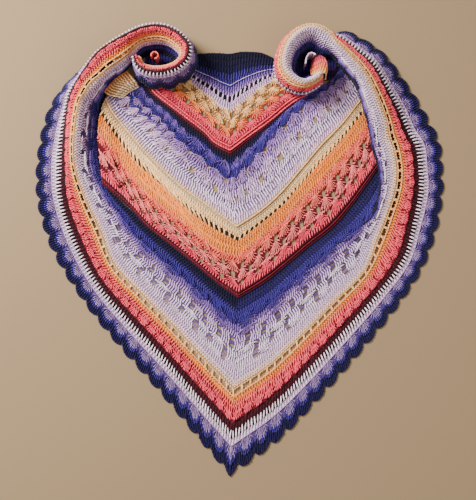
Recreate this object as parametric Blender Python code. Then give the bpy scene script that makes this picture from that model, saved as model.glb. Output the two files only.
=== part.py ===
"""A crocheted triangular shawl, laid down flat as a heart, with its two tails rolled up.

The shawl is worked from the neck downwards in V-shaped rows.  The tables below are
sections through the laid cloth, in millimetres on the floor: x to the right, y towards
the neck, z up.  Each panel is a wall of one thickness, lofted through its sections, and
the holes of its lace are cut through it.
"""
import math

import bmesh
import bpy
from mathutils import Vector

MM = 0.001

# Driving sizes, in millimetres
WALL = 2.4
HALF_WALL = WALL / 2
SEAM = 0.3
CURVED_SEAM = 0.9
FOOTPRINT_CENTRE = (2.0, 4.4)
SCALLOP_PITCH = 29.0
SCALLOP_DEPTH = 0.30
EYELET_PITCH = 14.7
FAN_PITCH = 16.5
LACE_PITCH = 14.0
NECK_PITCH = 14.0
RIDGE_RISE = 1.6
CURL_HEIGHT_LEFT = 50.0
CURL_HEIGHT_RIGHT = 54.0
FOLD_LIFT = 7.2

# Where the strips end and the rolled tails begin, counted in sections from the spine
LEFT_FLAT_END = 14.0
RIGHT_FLAT_END = 15.0
RIGHT_FOLD_START = 5.95
LACE_HOLES_FROM = 0.2
LACE_HOLES_LEFT_END = 9.5
LACE_HOLES_RIGHT_END = 10.5

# Guides of the outer strip, from its scalloped edge inwards
EDGE, POST, MAROON, EYELETS, RIB, LACE, NAVY = range(7)

# Where the guides cross a flat section, as shares of its length
FLAT_SHARES = (0.167, 0.283, 0.461, 0.561, 0.856)

# A flat section: edge x, y and inner end x, y.  A raised one goes on with the places of
# the post, maroon, eyelet, rib and lace guides along it, and the height of each guide
# after the edge.
LEFT_STRIP = (
    (-12, -332, 0, -73),
    (-66, -270, -31, -51),
    (-121, -206, -64, -23),
    (-179, -142, -99, 5),
    (-233, -75, -135, 33),
    (-279, -2, -157.6, 55.4, 27, 46, 74, 88, 117, 0, 1, 2, 2, 1, 0),
    (-302, 67, -190, 87.5, 26, 45, 69, 81, 103, 1, 4, 8, 8, 2, 0),
    (-306, 119, -204, 131, 25, 47, 60, 70, 88, 3, 12, 20, 18, 3, 0),
    (-301, 171, -205, 176, 25, 43, 56, 66, 82, 4, 16, 30, 28, 3, 0),
    (-291, 210, -205, 217, 25, 38, 53, 62, 75, 8, 24, 36, 32, 4, 0),
    (-278, 235, -204, 228, 21, 32, 49, 59, 66, 20, 34, 42, 36, 8, 0),
    (-260, 258, -203, 240, 20, 27, 42, 53, 57, 32, 44, 44, 38, 12, 0),
    (-236, 280, -197, 252, 14, 19, 38, 46, 47, 36, 48, 46, 38, 12, 0),
    (-215, 298, -186, 264, 11, 14, 36, 44, 45, 38, 50, 46, 34, 12, 0),
    (-191, 312, -168, 281, 8, 11, 32, 38, 39, 38, 50, 42, 28, 10, 0),
)
RIGHT_STRIP = (
    (-12, -332, 0, -73),
    (56, -284, 39, -50),
    (116, -225, 72, -24),
    (176, -159, 107, 5),
    (231, -94, 143, 33),
    (274, -32, 178, 38, 22, 40, 75, 91, 111, 0, 1, 2, 2, 1, 0),
    (298, 27, 201, 57, 25, 44, 74, 88, 96, 0, 3, 6, 8, 8, 5),
    (309, 82, 212, 93, 23, 44, 69, 85, 96, 1, 6, 10, 12, 11, 7),
    (310, 122, 212, 121, 24, 44, 67, 84, 97, 1, 7, 12, 14, 12, 8),
    (307, 163, 204, 145, 25, 46, 70, 87, 103, 2, 9, 15, 16, 13, 9),
    (294, 193, 201, 158, 28, 47, 67, 85, 98, 3, 12, 18, 19, 14, 9),
    (275, 229, 198, 179, 26, 44, 61, 76, 91, 6, 17, 25, 27, 18, 9),
    (253, 263, 190, 213, 26, 43, 56, 71, 80, 14, 28, 36, 37, 21, 9),
    (226, 301, 178, 248, 25, 41, 54, 66, 70, 20, 36, 44, 46, 24, 8),
    (192, 326, 158, 275, 24, 38, 48, 57, 61, 24, 42, 50, 52, 26, 7),
    (160, 338, 139, 295, 18, 29, 37, 44, 47, 26, 44, 54, 54, 26, 6),
)

# The rolled tails: the crest's x and y, the height of the roll's feet, and how far its
# outer and inner walls stand out from the crest
LEFT_ROLL = (
    (-154, 320, 1, 12, 15),
    (-138, 326, 1, 12, 15),
    (-122, 328, 1, 12, 15),
    (-104, 325, 1, 12, 15),
    (-87, 315, 3, 12, 15),
    (-74, 298, 3.4, 12, 15),
    (-77, 279, 3.4, 13, 15),
    (-91, 266, 3.4, 14, 15),
    (-108, 260, 3.4, 14, 15),
    (-126, 259, 3.4, 13, 15),
    (-141, 264, 3.4, 12, 13),
    (-150, 273, 3.4, 8, 10),
    (-153, 284, 3.4, 5, 8),
)
RIGHT_ROLL = (
    (132, 311, 2, 15, 13),
    (117, 321, 2, 14, 13),
    (102, 322, 2, 13, 13),
    (88, 314, 2, 13, 13),
    (76, 300, 3.4, 13, 13),
    (70, 281, 3.4, 13, 12),
    (70, 266, 3.4, 13, 12),
    (76, 254, 3.4, 11, 12),
    (87, 245, 3.4, 8, 12),
    (99, 242, 3.4, 6, 12),
    (111, 246, 3.4, 5, 12),
    (119, 252, 3.4, 5, 8),
    (122, 256, 3.4, 5, 5),
)
# A roll's section: each guide's place, as a share of the outer reach or, below nought,
# of the inner one, and its height as a share of the crest's
LEFT_ROLL_SECTION = ((1.0, 0.0), (0.45, 0.76), (0.0, 1.0), (-0.75, 0.66), (-0.95, 0.36),
                     (-1.0, 0.12), (-1.75, 0.0))
RIGHT_ROLL_SECTION = ((0.55, 0.0), (0.95, 0.18), (1.0, 0.46), (0.6, 0.86), (-0.2, 1.0),
                      (-0.95, 0.46), (-1.85, 0.0))

# Guides of the middle panel, from the maroon edge to the crimson ridge, each from the
# spine outwards
MAROON_EDGE, ORANGE, PEACH, BLUE, RIDGE = range(5)
MIDDLE_LEFT = (
    ((0, -73), (-31, -51), (-64, -23), (-99, 5), (-135, 33), (-158, 58), (-183, 80), (-204, 98)),
    ((0, -8), (-27, 0), (-54, 18), (-81, 42), (-136, 85), (-170, 125), (-193, 158), (-212, 180)),
    ((-2, 36), (-42, 65), (-88, 99), (-133, 142), (-158, 171), (-175, 191), (-190, 209), (-201, 230)),
    ((-12, 109), (-35, 125), (-58, 145), (-88, 168), (-111, 196), (-134, 216), (-152, 234), (-166, 261)),
    ((-12, 151), (-35, 163), (-50, 179), (-73, 197), (-104, 221), (-122, 235), (-133, 246), (-142, 266)),
)
MIDDLE_RIGHT = (
    ((0, -73), (39, -50), (72, -24), (107, 5), (143, 33), (172, 67), (197, 102), (218, 132)),
    ((0, -8), (42, 27), (71, 51), (94, 76), (124, 106), (155, 140), (186, 178), (214, 210)),
    ((-2, 36), (33, 59), (63, 86), (94, 122), (125, 159), (155, 190), (176, 216), (195, 240)),
    ((-12, 109), (11, 128), (43, 165), (76, 202), (107, 229), (133, 247), (150, 260), (171, 281)),
    ((-12, 151), (18, 174), (49, 197), (79, 222), (98, 234), (117, 242), (136, 254), (147, 282)),
)

# Guides of the neck panel above the ridge: the start of the peach lace and the neck edge
NECK_LEFT = (
    ((-12, 213), (-28, 223), (-43, 236), (-58, 247), (-72, 259), (-86, 271), (-99, 282)),
    ((-12, 302), (-28, 303), (-42, 303), (-56, 302), (-68, 301), (-77, 299), (-85, 296)),
)
NECK_RIGHT = (
    ((-12, 213), (5, 227), (22, 240), (38, 252), (54, 262), (68, 270), (80, 277)),
    ((-12, 302), (4, 305), (20, 305), (37, 303), (52, 296), (66, 286), (78, 279)),
)

# The right arm of the navy band past the last flat section: its outer and inner edge
NAVY_RIGHT_END = (
    ((184, 34.5), (172, 67)),
    ((208, 63), (197, 102)),
    ((230, 110), (218, 132)),
)

# Where the neck panel ends under the rolls, counted in sections from the spine
NECK_LEFT_END = 5.85
NECK_RIGHT_END = 4.4

# Rows of the flap that turns over at the left: x, y and height, from its left side
FLAP_ROWS = (
    ((-199, 243, 11), (-191, 253, 13), (-181, 262, 14), (-167, 271, 13)),
    ((-195, 242, 13), (-186, 251, 16), (-176, 259, 17), (-163, 266, 16)),
    ((-188, 241, 12), (-180, 248, 15), (-170, 255, 16), (-158, 260, 15)),
    ((-177, 240, 9), (-170, 244, 11), (-163, 249, 12), (-153, 254, 11)),
    ((-170, 240, 4), (-164, 243, 4), (-158, 246, 4), (-151, 250, 4)),
)

# The last turn of the right tail: x, y and height, from its inner side over to its outer
RIGHT_TIP_ROWS = (
    ((110, 260.6, 22), (117, 260.6, 34), (124, 259.6, 42), (130, 259.6, 38), (132, 259.6, 8)),
    ((109, 270, 18), (117, 270, 32), (126, 270, 44), (132, 270, 40), (135, 270, 6)),
    ((111, 279, 18), (118, 279, 32), (126, 279, 42), (131, 279, 38), (133, 280, 6)),
    ((112, 287, 20), (118, 288, 30), (123, 287, 38), (126, 286, 32), (127, 285, 10)),
)
# The very end of the right tail, which stands inside its last turn: x and y
RIGHT_CORE = ((101, 276), (102, 284), (105, 290), (110, 292), (115.5, 289))
RIGHT_CORE_HEIGHTS = (8.4, 36)
# The very end of the left tail, a small open ring inside its roll
LEFT_CORE_CENTRE = (-125, 291)
LEFT_CORE_RADIUS = 5.5
LEFT_CORE_HEIGHTS = (6.8, 28)


def catmull(points, t):
    """Gives the point at t, counted in points, on a smooth curve through all of them."""
    last = len(points) - 1
    i = min(int(t), last - 1)
    f = t - i
    here, there = Vector(points[i]), Vector(points[i + 1])
    before = Vector(points[i - 1]) if i > 0 else here * 2 - there
    after = Vector(points[i + 2]) if i + 2 <= last else there * 2 - here
    return 0.5 * (2 * here + (there - before) * f
                  + (2 * before - 5 * here + 4 * there - after) * f * f
                  + (3 * here - before - 3 * there + after) * f * f * f)


def smooth(value, start, end):
    """Goes softly from 0 at start to 1 at end."""
    f = min(max((value - start) / (end - start), 0.0), 1.0)
    return f * f * (3 - 2 * f)


def strip_section(row):
    """Gives the seven guide points of one section of the outer strip."""
    edge, inner = Vector(row[0:2]), Vector(row[2:4])
    length = (inner - edge).length
    way = (inner - edge) / length
    if len(row) == 4:
        places, heights = [share * length for share in FLAT_SHARES], [0] * 6
    else:
        places, heights = list(row[4:9]), list(row[9:15])
    guides = []
    for place, height in zip([0] + places + [length], [0] + heights):
        on_floor = edge + way * place
        guides.append(Vector((on_floor.x, on_floor.y, height + HALF_WALL)))
    return guides


def roll_sections(table, shape, height, outward):
    """Gives the sections of a rolled tail, square to its crest."""
    crest = [Vector(row[0:2]) for row in table]
    sections = []
    for i, (x, y, foot, reach_out, reach_in) in enumerate(table):
        along = crest[min(i + 1, len(crest) - 1)] - crest[max(i - 1, 0)]
        out = Vector((-along.y, along.x)).normalized() * outward
        guides = []
        for share, rise in shape:
            reach = reach_out if share > 0 else reach_in
            at = Vector((x, y)) + out * share * reach
            guides.append(Vector((at.x, at.y, foot + HALF_WALL + (height - foot) * rise)))
        sections.append(guides)
    return sections


class Loft:
    """A smooth surface through sections; s counts sections and r counts guides."""

    def __init__(self, sections, lift=None):
        """Keeps the sections, and a function that adds height at s and r."""
        self.sections = sections
        self.lift = lift
        self.end = len(sections) - 1
        self.last_guide = len(sections[0]) - 1
        self.turn = 1.0
        if self.raw_normal(0.5, 0.5).z < 0:
            self.turn = -1.0
        self.edge_lengths = [0.0]
        for k in range(self.end * 8):
            step = self.point((k + 1) / 8, 0) - self.point(k / 8, 0)
            self.edge_lengths.append(self.edge_lengths[-1] + step.length)

    def edge_distance(self, s):
        """Gives the way along the outer edge from the spine to s."""
        i = min(int(s * 8), len(self.edge_lengths) - 2)
        start, stop = self.edge_lengths[i:i + 2]
        return start + (stop - start) * (s * 8 - i)

    def point(self, s, r):
        """Gives the point of the wall's middle surface."""
        across = [catmull([section[g] for section in self.sections], s)
                  for g in range(self.last_guide + 1)]
        at = catmull(across, r)
        if self.lift:
            at.z += self.lift(s, r)
        at.z = max(at.z, HALF_WALL)
        return at

    def raw_normal(self, s, r):
        """Gives the direction square to the surface, on either side of it."""
        step = 0.02
        s0, s1 = max(s - step, 0), min(s + step, self.end)
        r0, r1 = max(r - step, 0), min(r + step, self.last_guide)
        along = self.point(s1, r) - self.point(s0, r)
        across = self.point(s, r1) - self.point(s, r0)
        return along.cross(across).normalized()

    def normal(self, s, r):
        """Gives the direction square to the surface, on the shawl's right side."""
        return self.raw_normal(s, r) * self.turn

    def evenly(self, start, end, r, pitch):
        """Gives places between start and end, one pitch apart along guide r."""
        steps = 160
        stops = [start + (end - start) * i / steps for i in range(steps + 1)]
        lengths = [0.0]
        for a, b in zip(stops, stops[1:]):
            lengths.append(lengths[-1] + (self.point(b, r) - self.point(a, r)).length)
        count = max(round(lengths[-1] / pitch), 1)
        places, i = [], 0
        for k in range(count + 1):
            goal = lengths[-1] * k / count
            while i < steps - 1 and lengths[i + 1] < goal:
                i += 1
            f = (goal - lengths[i]) / (lengths[i + 1] - lengths[i])
            places.append(stops[i] + (stops[i + 1] - stops[i]) * min(f, 1.0))
        return places


def quad_point(corners, u, v):
    """Gives a point in a four-cornered cell, u along its columns and v along its rows."""
    a, b, c, d = corners
    return (a * (1 - u) + b * u) * (1 - v) + (d * (1 - u) + c * u) * v


def add_object(name, maker, colour, roughness):
    """Makes one named object in metres from a closed bmesh, with its own material."""
    bmesh.ops.recalc_face_normals(maker, faces=maker.faces[:])
    for vertex in maker.verts:
        vertex.co.x = (vertex.co.x - FOOTPRINT_CENTRE[0]) * MM
        vertex.co.y = (vertex.co.y - FOOTPRINT_CENTRE[1]) * MM
        vertex.co.z = vertex.co.z * MM
    mesh = bpy.data.meshes.new(name)
    maker.to_mesh(mesh)
    maker.free()
    mesh.shade_smooth()
    mesh.set_sharp_from_angle(angle=math.radians(40))
    material = bpy.data.materials.new(name + "_yarn")
    material.use_nodes = True
    shader = material.node_tree.nodes["Principled BSDF"]
    shader.inputs["Base Color"].default_value = (*colour, 1.0)
    shader.inputs["Roughness"].default_value = roughness
    shader.inputs["Metallic"].default_value = 0.0
    mesh.materials.append(material)
    thing = bpy.data.objects.new(name, mesh)
    bpy.context.collection.objects.link(thing)
    return thing


def cloth_grid(columns, rows):
    """Gives each place of a panel as its point and normal; a column is a loft and its s."""
    return [[(loft.point(s, r), loft.normal(s, r)) for r in rows] for loft, s in columns]


def draw_in(grid, first_row=True, last_row=True, first_column=True, last_column=True, seam=SEAM):
    """Moves a panel's borders in by the seam, so that neighbours stay apart."""
    def pull(place, towards):
        point, normal = place
        return point + (towards[0] - point).normalized() * seam, normal

    for column in grid:
        if first_row:
            column[0] = pull(column[0], column[1])
        if last_row:
            column[-1] = pull(column[-1], column[-2])
    if first_column:
        grid[0] = [pull(a, b) for a, b in zip(grid[0], grid[1])]
    if last_column:
        grid[-1] = [pull(a, b) for a, b in zip(grid[-1], grid[-2])]
    return grid


def cloth_wall(name, grid, colour, holes=None, relief=None, wall=WALL):
    """Builds a panel as a closed wall, with its holes cut through.

    holes gives, for a cell's column and row, the start and end of its hole along the
    column, the start and end along the row, and how far its top leans.  relief gives
    how far each row's outer points stand up.
    """
    holes = holes or {}
    relief = relief or {}
    maker = bmesh.new()
    skins = []
    for side in (1, -1):
        skin = []
        for column in grid:
            raised = []
            for j, (point, normal) in enumerate(column):
                rise = wall / 2 + (relief.get(j, 0.0) if side > 0 else 0.0)
                raised.append(maker.verts.new(point + normal * side * rise))
            skin.append(raised)
        skins.append(skin)
    across, down = len(grid), len(grid[0])
    for i in range(across - 1):
        for j in range(down - 1):
            rims = []
            for skin in skins:
                corners = (skin[i][j], skin[i + 1][j], skin[i + 1][j + 1], skin[i][j + 1])
                if (i, j) not in holes:
                    maker.faces.new(corners)
                    continue
                u0, u1, v0, v1, lean = holes[(i, j)]
                places = ((u0 - lean, v0), (u1 - lean, v0), (u1 + lean, v1), (u0 + lean, v1))
                flat = [corner.co for corner in corners]
                rim = [maker.verts.new(quad_point(flat, u, v)) for u, v in places]
                for k in range(4):
                    m = (k + 1) % 4
                    maker.faces.new((corners[k], corners[m], rim[m], rim[k]))
                rims.append(rim)
            if rims:
                for k in range(4):
                    m = (k + 1) % 4
                    maker.faces.new((rims[0][k], rims[0][m], rims[1][m], rims[1][k]))
    top, under = skins
    for j in (0, down - 1):
        for i in range(across - 1):
            maker.faces.new((top[i][j], top[i + 1][j], under[i + 1][j], under[i][j]))
    for i in (0, across - 1):
        for j in range(down - 1):
            maker.faces.new((top[i][j], top[i][j + 1], under[i][j + 1], under[i][j]))
    return add_object(name, maker, colour, 0.85)


def scallop(loft, s):
    """Gives 0 at the tip of a scallop and 1 in the notch between two."""
    phase = loft.edge_distance(s) / SCALLOP_PITCH + 0.5
    return 1.0 - abs(math.sin(math.pi * phase)) ** 0.6


def scalloped(columns, rows):
    """Gives a panel's places, with its first rows waved by the scallops."""
    grid = []
    for loft, s in columns:
        notch = scallop(loft, s)
        column = []
        for r in rows:
            waved = r + SCALLOP_DEPTH * notch * max(1.0 - 2.0 * r, 0.0)
            column.append((loft.point(s, waved), loft.normal(s, min(max(waved, 0.05), 6.0))))
        grid.append(column)
    return grid


def both_arms(left, left_places, right, right_places):
    """Gives a V-shaped panel's columns, from its left end round the spine to its right."""
    return [(left, s) for s in reversed(left_places)] + [(right, s) for s in right_places[1:]]


def alternate(columns, row, first, step, hole, spare=1):
    """Gives the same hole in every step-th cell of a row, clear of the panel's ends."""
    return {(i, row): hole for i in range(spare, columns - 1 - spare) if (i - first) % step == 0}


def stations(sections, guide_count):
    """Turns a panel's guides, each from the spine outwards, into its sections."""
    return [[Vector((*sections[g][k][:2], HALF_WALL)) for g in range(guide_count)]
            for k in range(len(sections[0]))]


def left_fold_lift(s, r):
    """Lifts the middle panel's left side, where it is folded over the strip."""
    return FOLD_LIFT * smooth(s, 5.0, 6.3) * (1.0 - smooth(r, 1.9, 2.5))


def points_grid(rows):
    """Gives a small patch's places, with its normals worked out between its points."""
    points = [[Vector(place) for place in row] for row in rows]
    grid = []
    for i, row in enumerate(points):
        places = []
        for j, point in enumerate(row):
            along = points[min(i + 1, len(points) - 1)][j] - points[max(i - 1, 0)][j]
            across = row[min(j + 1, len(row) - 1)] - row[max(j - 1, 0)]
            normal = along.cross(across).normalized()
            places.append((point, normal))
        grid.append(places)
    if sum(normal.z for row in grid for _, normal in row) < 0:
        grid = [[(point, -normal) for point, normal in row] for row in grid]
    return grid


def navy_right():
    """Gives the loft of the navy band's right arm, which follows the middle panel."""
    sections = []
    for row in RIGHT_STRIP[:5]:
        guides = strip_section(row)
        sections.append([guides[LACE], guides[NAVY]])
    for outer, inner in NAVY_RIGHT_END:
        sections.append([Vector((*outer, HALF_WALL)), Vector((*inner, HALF_WALL))])
    return Loft(sections)


def build_shell_edging(left, right):
    """The scalloped shells along the outer edge, from one roll to the other."""
    columns = both_arms(left, left.evenly(0, LEFT_FLAT_END, EDGE, SCALLOP_PITCH / 3),
                        right, right.evenly(0, RIGHT_FLAT_END, EDGE, SCALLOP_PITCH / 3))
    grid = draw_in(scalloped(columns, (EDGE, 0.5, POST)), first_row=False, seam=CURVED_SEAM)
    cloth_wall("shell_edging", grid, (0.08, 0.07, 0.25))


def build_border(left, right):
    """The posts, maroon, pink cables, orange, eyelets and ribs."""
    columns = both_arms(left, left.evenly(0, LEFT_FLAT_END, EYELETS, EYELET_PITCH),
                        right, right.evenly(0, RIGHT_FLAT_END, EYELETS, EYELET_PITCH))
    rows = (POST, MAROON, 2.5, 2.86, 3.22, RIB)
    grid = draw_in(cloth_grid(columns, rows))
    holes = alternate(len(columns), 3, 0, 1, (0.16, 0.84, 0.12, 0.88, 0.0))
    cloth_wall("border", grid, (0.85, 0.33, 0.36), holes)


def build_lace(left, right):
    """The lilac lace between the ribs and the navy band."""
    columns = both_arms(left, left.evenly(0, LEFT_FLAT_END, 4.5, LACE_PITCH),
                        right, right.evenly(0, RIGHT_FLAT_END, 4.5, LACE_PITCH))
    rows = (RIB, 4.25, 4.47, 4.69, LACE)
    grid = draw_in(cloth_grid(columns, rows), seam=SEAM * 2)
    open_cells = {}
    for i, (loft, s) in enumerate(columns):
        lean = 0.12 if loft is left else -0.12
        if LACE_HOLES_FROM < s < (LACE_HOLES_LEFT_END if loft is left else LACE_HOLES_RIGHT_END):
            row = 1 if i % 2 else 2
            open_cells[(i, row)] = (0.30, 0.70, 0.06, 0.94, lean)
    cloth_wall("lilac_lace", grid, (0.55, 0.48, 0.70), open_cells)


def build_navy_band(left, right):
    """The blue and navy rows beyond the middle panel."""
    left_places = left.evenly(0, LEFT_FLAT_END, NAVY, 22.0)
    right_places = right.evenly(0, right.end, 1, 22.0)
    left_grid = [[(left.point(s, r), left.normal(s, r)) for r in (LACE, 5.5, NAVY)]
                 for s in reversed(left_places)]
    right_grid = [[(right.point(s, r), right.normal(s, r)) for r in (0, 0.5, 1)]
                  for s in right_places[1:]]
    grid = draw_in(left_grid + right_grid, seam=SEAM * 2)
    cloth_wall("navy_band", grid, (0.04, 0.04, 0.16))


def build_middle_panel(left, right):
    """The second set of bands: maroon, pink fans, orange, peach ridge, lilac and blue."""
    left_places = left.evenly(0, left.end, 1.0, FAN_PITCH)
    right_places = right.evenly(0, right.end, 1.0, FAN_PITCH)
    columns = both_arms(left, left_places, right, right_places)
    rows = (MAROON_EDGE, 0.2, 0.4, 0.6, 0.8, ORANGE, 1.55, 1.82, PEACH, 2.33, 2.7, BLUE, 3.5,
            RIDGE)
    grid = draw_in(cloth_grid(columns, rows))
    spine = len(left_places) - 1
    holes = {}
    for row, first in ((1, spine), (2, spine + 1), (3, spine), (9, spine), (10, spine + 1)):
        wide = (0.28, 0.72) if row < 5 else (0.34, 0.66)
        holes.update(alternate(len(columns), row, first, 2, (*wide, 0.12, 0.88, 0.0), spare=2))
    relief = {7: RIDGE_RISE * 0.5}
    cloth_wall("middle_panel", grid, (0.84, 0.40, 0.38), holes, relief)


def build_neck_panel(middle_left, middle_right):
    """The first set of bands: navy, lilac and peach lace down to the crimson ridge."""
    lofts = []
    for middle, table in ((middle_left, NECK_LEFT), (middle_right, NECK_RIGHT)):
        ridge = [middle.point(s, RIDGE) for s in range(len(table[0]))]
        lofts.append(Loft([[ridge[k]] + [Vector((*guide[k], HALF_WALL)) for guide in table]
                           for k in range(len(ridge))]))
    left, right = lofts
    left_places = left.evenly(0, NECK_LEFT_END, 0.5, NECK_PITCH)
    columns = both_arms(left, left_places, right,
                        right.evenly(0, NECK_RIGHT_END, 0.5, NECK_PITCH))
    rows = (0, 0.12, 0.32, 0.54, 0.76, 1, 1.35, 1.65, 2)
    grid = draw_in(cloth_grid(columns, rows), seam=CURVED_SEAM)
    spine = len(left_places) - 1
    holes = {}
    for row, first in ((2, spine), (3, spine + 1), (4, spine)):
        holes.update(alternate(len(columns), row, first, 2, (0.30, 0.70, 0.2, 0.8, 0.0)))
    cloth_wall("neck_panel", grid, (0.90, 0.62, 0.40), holes, {0: RIDGE_RISE, 1: RIDGE_RISE})


def build_roll(name, loft, start, colour):
    """One rolled tail, from its scallops over the crest and down its inner wall."""
    columns = [(loft, s) for s in loft.evenly(start, loft.end, MAROON, SCALLOP_PITCH / 3)]
    rows = (EDGE, 0.5, POST, MAROON, EYELETS, RIB, LACE, NAVY)
    grid = draw_in(scalloped(columns, rows), first_row=False, last_row=False)
    cloth_wall(name, grid, colour)


def build_folds(right, middle_left):
    """The turned-down edge of the right strip, and the layer under the left fold."""
    turned = [(right, s) for s in right.evenly(0, RIGHT_FLAT_END, 4.5, LACE_PITCH)
              if s > RIGHT_FOLD_START]
    cloth_wall("right_fold", draw_in(cloth_grid(turned, (LACE, 5.5, NAVY))), (0.55, 0.48, 0.70))
    under = []
    for r in (0.2, 0.6, 1.0, 1.4, 1.8, 2.1):
        column = []
        for s in (6.95, 6.7, 6.45):
            normal = middle_left.normal(s, r)
            column.append((middle_left.point(s, r) - normal * (WALL + SEAM), normal))
        under.append(column)
    cloth_wall("left_fold_under", under, (0.85, 0.33, 0.36))


def upright(points, heights):
    """Gives the places of a wall that stands on a line of points."""
    grid = []
    for i, (x, y) in enumerate(points):
        before, after = points[max(i - 1, 0)], points[min(i + 1, len(points) - 1)]
        normal = Vector((after[1] - before[1], before[0] - after[0], 0)).normalized()
        grid.append([(Vector((x, y, z)), normal) for z in heights])
    return grid


def build_tips():
    """The ends of both tails, inside their rolls."""
    cloth_wall("right_tail_turn", points_grid(RIGHT_TIP_ROWS), (0.85, 0.45, 0.38))
    cloth_wall("right_tail_tip", upright(RIGHT_CORE, RIGHT_CORE_HEIGHTS), (0.75, 0.70, 0.82))
    ring = []
    for k in range(9):
        angle = math.radians(200 - 36 * k)
        ring.append((LEFT_CORE_CENTRE[0] + LEFT_CORE_RADIUS * math.cos(angle),
                     LEFT_CORE_CENTRE[1] + LEFT_CORE_RADIUS * math.sin(angle)))
    cloth_wall("left_tail_tip", upright(ring, LEFT_CORE_HEIGHTS), (0.80, 0.28, 0.33))


def main():
    """Builds the whole shawl."""
    for thing in list(bpy.data.objects):
        bpy.data.objects.remove(thing, do_unlink=True)
    left = Loft([strip_section(row) for row in LEFT_STRIP]
                + roll_sections(LEFT_ROLL, LEFT_ROLL_SECTION, CURL_HEIGHT_LEFT, 1.0))
    right = Loft([strip_section(row) for row in RIGHT_STRIP]
                 + roll_sections(RIGHT_ROLL, RIGHT_ROLL_SECTION, CURL_HEIGHT_RIGHT, -1.0))
    middle_left = Loft(stations(MIDDLE_LEFT, 5), left_fold_lift)
    middle_right = Loft(stations(MIDDLE_RIGHT, 5))
    build_shell_edging(left, right)
    build_border(left, right)
    build_lace(left, right)
    build_navy_band(left, navy_right())
    build_middle_panel(middle_left, middle_right)
    build_neck_panel(middle_left, middle_right)
    build_roll("left_tail_roll", left, LEFT_FLAT_END, (0.85, 0.33, 0.36))
    build_roll("right_tail_roll", right, RIGHT_FLAT_END, (0.90, 0.70, 0.55))
    build_folds(right, middle_left)
    cloth_wall("turned_flap", points_grid(FLAP_ROWS), (0.90, 0.62, 0.40))
    build_tips()


if __name__ == "__main__":
    main()
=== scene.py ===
"""Dresses the laid crochet shawl: thin cloths, their yarn stitches, a floor, light and a camera.

The shawl is worked from the neck down in V-shaped rows.  Each panel is a surface through
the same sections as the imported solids, in millimetres on the floor.  A place on a surface
is s, counted in sections away from the spine, and r, counted in guides from its outer
edge.  Rows of stitches are laid between places, and Geometry Nodes put the yarn there.
"""
from __future__ import annotations

import logging
import math
from collections.abc import Callable, Sequence
from dataclasses import dataclass, replace
from enum import Enum

import bpy
import numpy as np
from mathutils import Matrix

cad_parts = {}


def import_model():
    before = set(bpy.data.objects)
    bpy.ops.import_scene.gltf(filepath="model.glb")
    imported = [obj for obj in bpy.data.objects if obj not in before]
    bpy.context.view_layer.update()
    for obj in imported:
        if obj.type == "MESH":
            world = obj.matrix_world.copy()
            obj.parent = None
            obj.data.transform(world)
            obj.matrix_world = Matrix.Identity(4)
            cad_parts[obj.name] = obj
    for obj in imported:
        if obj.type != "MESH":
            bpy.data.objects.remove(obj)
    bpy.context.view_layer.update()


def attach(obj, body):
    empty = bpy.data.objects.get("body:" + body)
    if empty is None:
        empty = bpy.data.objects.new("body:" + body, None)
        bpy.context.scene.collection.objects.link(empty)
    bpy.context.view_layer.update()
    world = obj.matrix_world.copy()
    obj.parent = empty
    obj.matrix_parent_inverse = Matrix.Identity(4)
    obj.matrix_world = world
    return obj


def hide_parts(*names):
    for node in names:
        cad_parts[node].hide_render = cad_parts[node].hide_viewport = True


LOG = logging.getLogger("shawl")

MM = 0.001
FOOTPRINT_CENTRE = (2.0, 4.4)
HALF_WALL = 1.2
CLOTH = 0.5
# Fine cells along each side of a cloth's cell
CELL_SPLIT = 3
SCALLOP_PITCH = 29.0
SCALLOP_DEPTH = 0.30
SCALLOP_ROUNDNESS = 0.6
EYELET_PITCH = 14.7
FAN_PITCH = 16.5
LACE_PITCH = 14.0
NECK_PITCH = 14.0
CURL_HEIGHT_LEFT = 50.0
CURL_HEIGHT_RIGHT = 54.0
FOLD_LIFT = 7.2

LEFT_FLAT_END = 14.0
RIGHT_FLAT_END = 15.0
RIGHT_FOLD_START = 5.95
NECK_LEFT_END = 5.85
NECK_RIGHT_END = 4.4
LACE_HOLES_FROM = 0.2
LACE_HOLES_LEFT_END = 9.5
LACE_HOLES_RIGHT_END = 10.5

EDGE, POST, MAROON, EYELETS, RIB, LACE, NAVY = range(7)
FLAT_SHARES = (0.167, 0.283, 0.461, 0.561, 0.856)

# Sections of the outer strip: edge x, y and inner end x, y, then for a raised one the
# places of the guides along it and the height of each guide after the edge
LEFT_STRIP = (
    (-12, -332, 0, -73),
    (-66, -270, -31, -51),
    (-121, -206, -64, -23),
    (-179, -142, -99, 5),
    (-233, -75, -135, 33),
    (-279, -2, -157.6, 55.4, 27, 46, 74, 88, 117, 0, 1, 2, 2, 1, 0),
    (-302, 67, -190, 87.5, 26, 45, 69, 81, 103, 1, 4, 8, 8, 2, 0),
    (-306, 119, -204, 131, 25, 47, 60, 70, 88, 3, 12, 20, 18, 3, 0),
    (-301, 171, -205, 176, 25, 43, 56, 66, 82, 4, 16, 30, 28, 3, 0),
    (-291, 210, -205, 217, 25, 38, 53, 62, 75, 8, 24, 36, 32, 4, 0),
    (-278, 235, -204, 228, 21, 32, 49, 59, 66, 20, 34, 42, 36, 8, 0),
    (-260, 258, -203, 240, 20, 27, 42, 53, 57, 32, 44, 44, 38, 12, 0),
    (-236, 280, -197, 252, 14, 19, 38, 46, 47, 36, 48, 46, 38, 12, 0),
    (-215, 298, -186, 264, 11, 14, 36, 44, 45, 38, 50, 46, 34, 12, 0),
    (-191, 312, -168, 281, 8, 11, 32, 38, 39, 38, 50, 42, 28, 10, 0),
)
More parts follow.
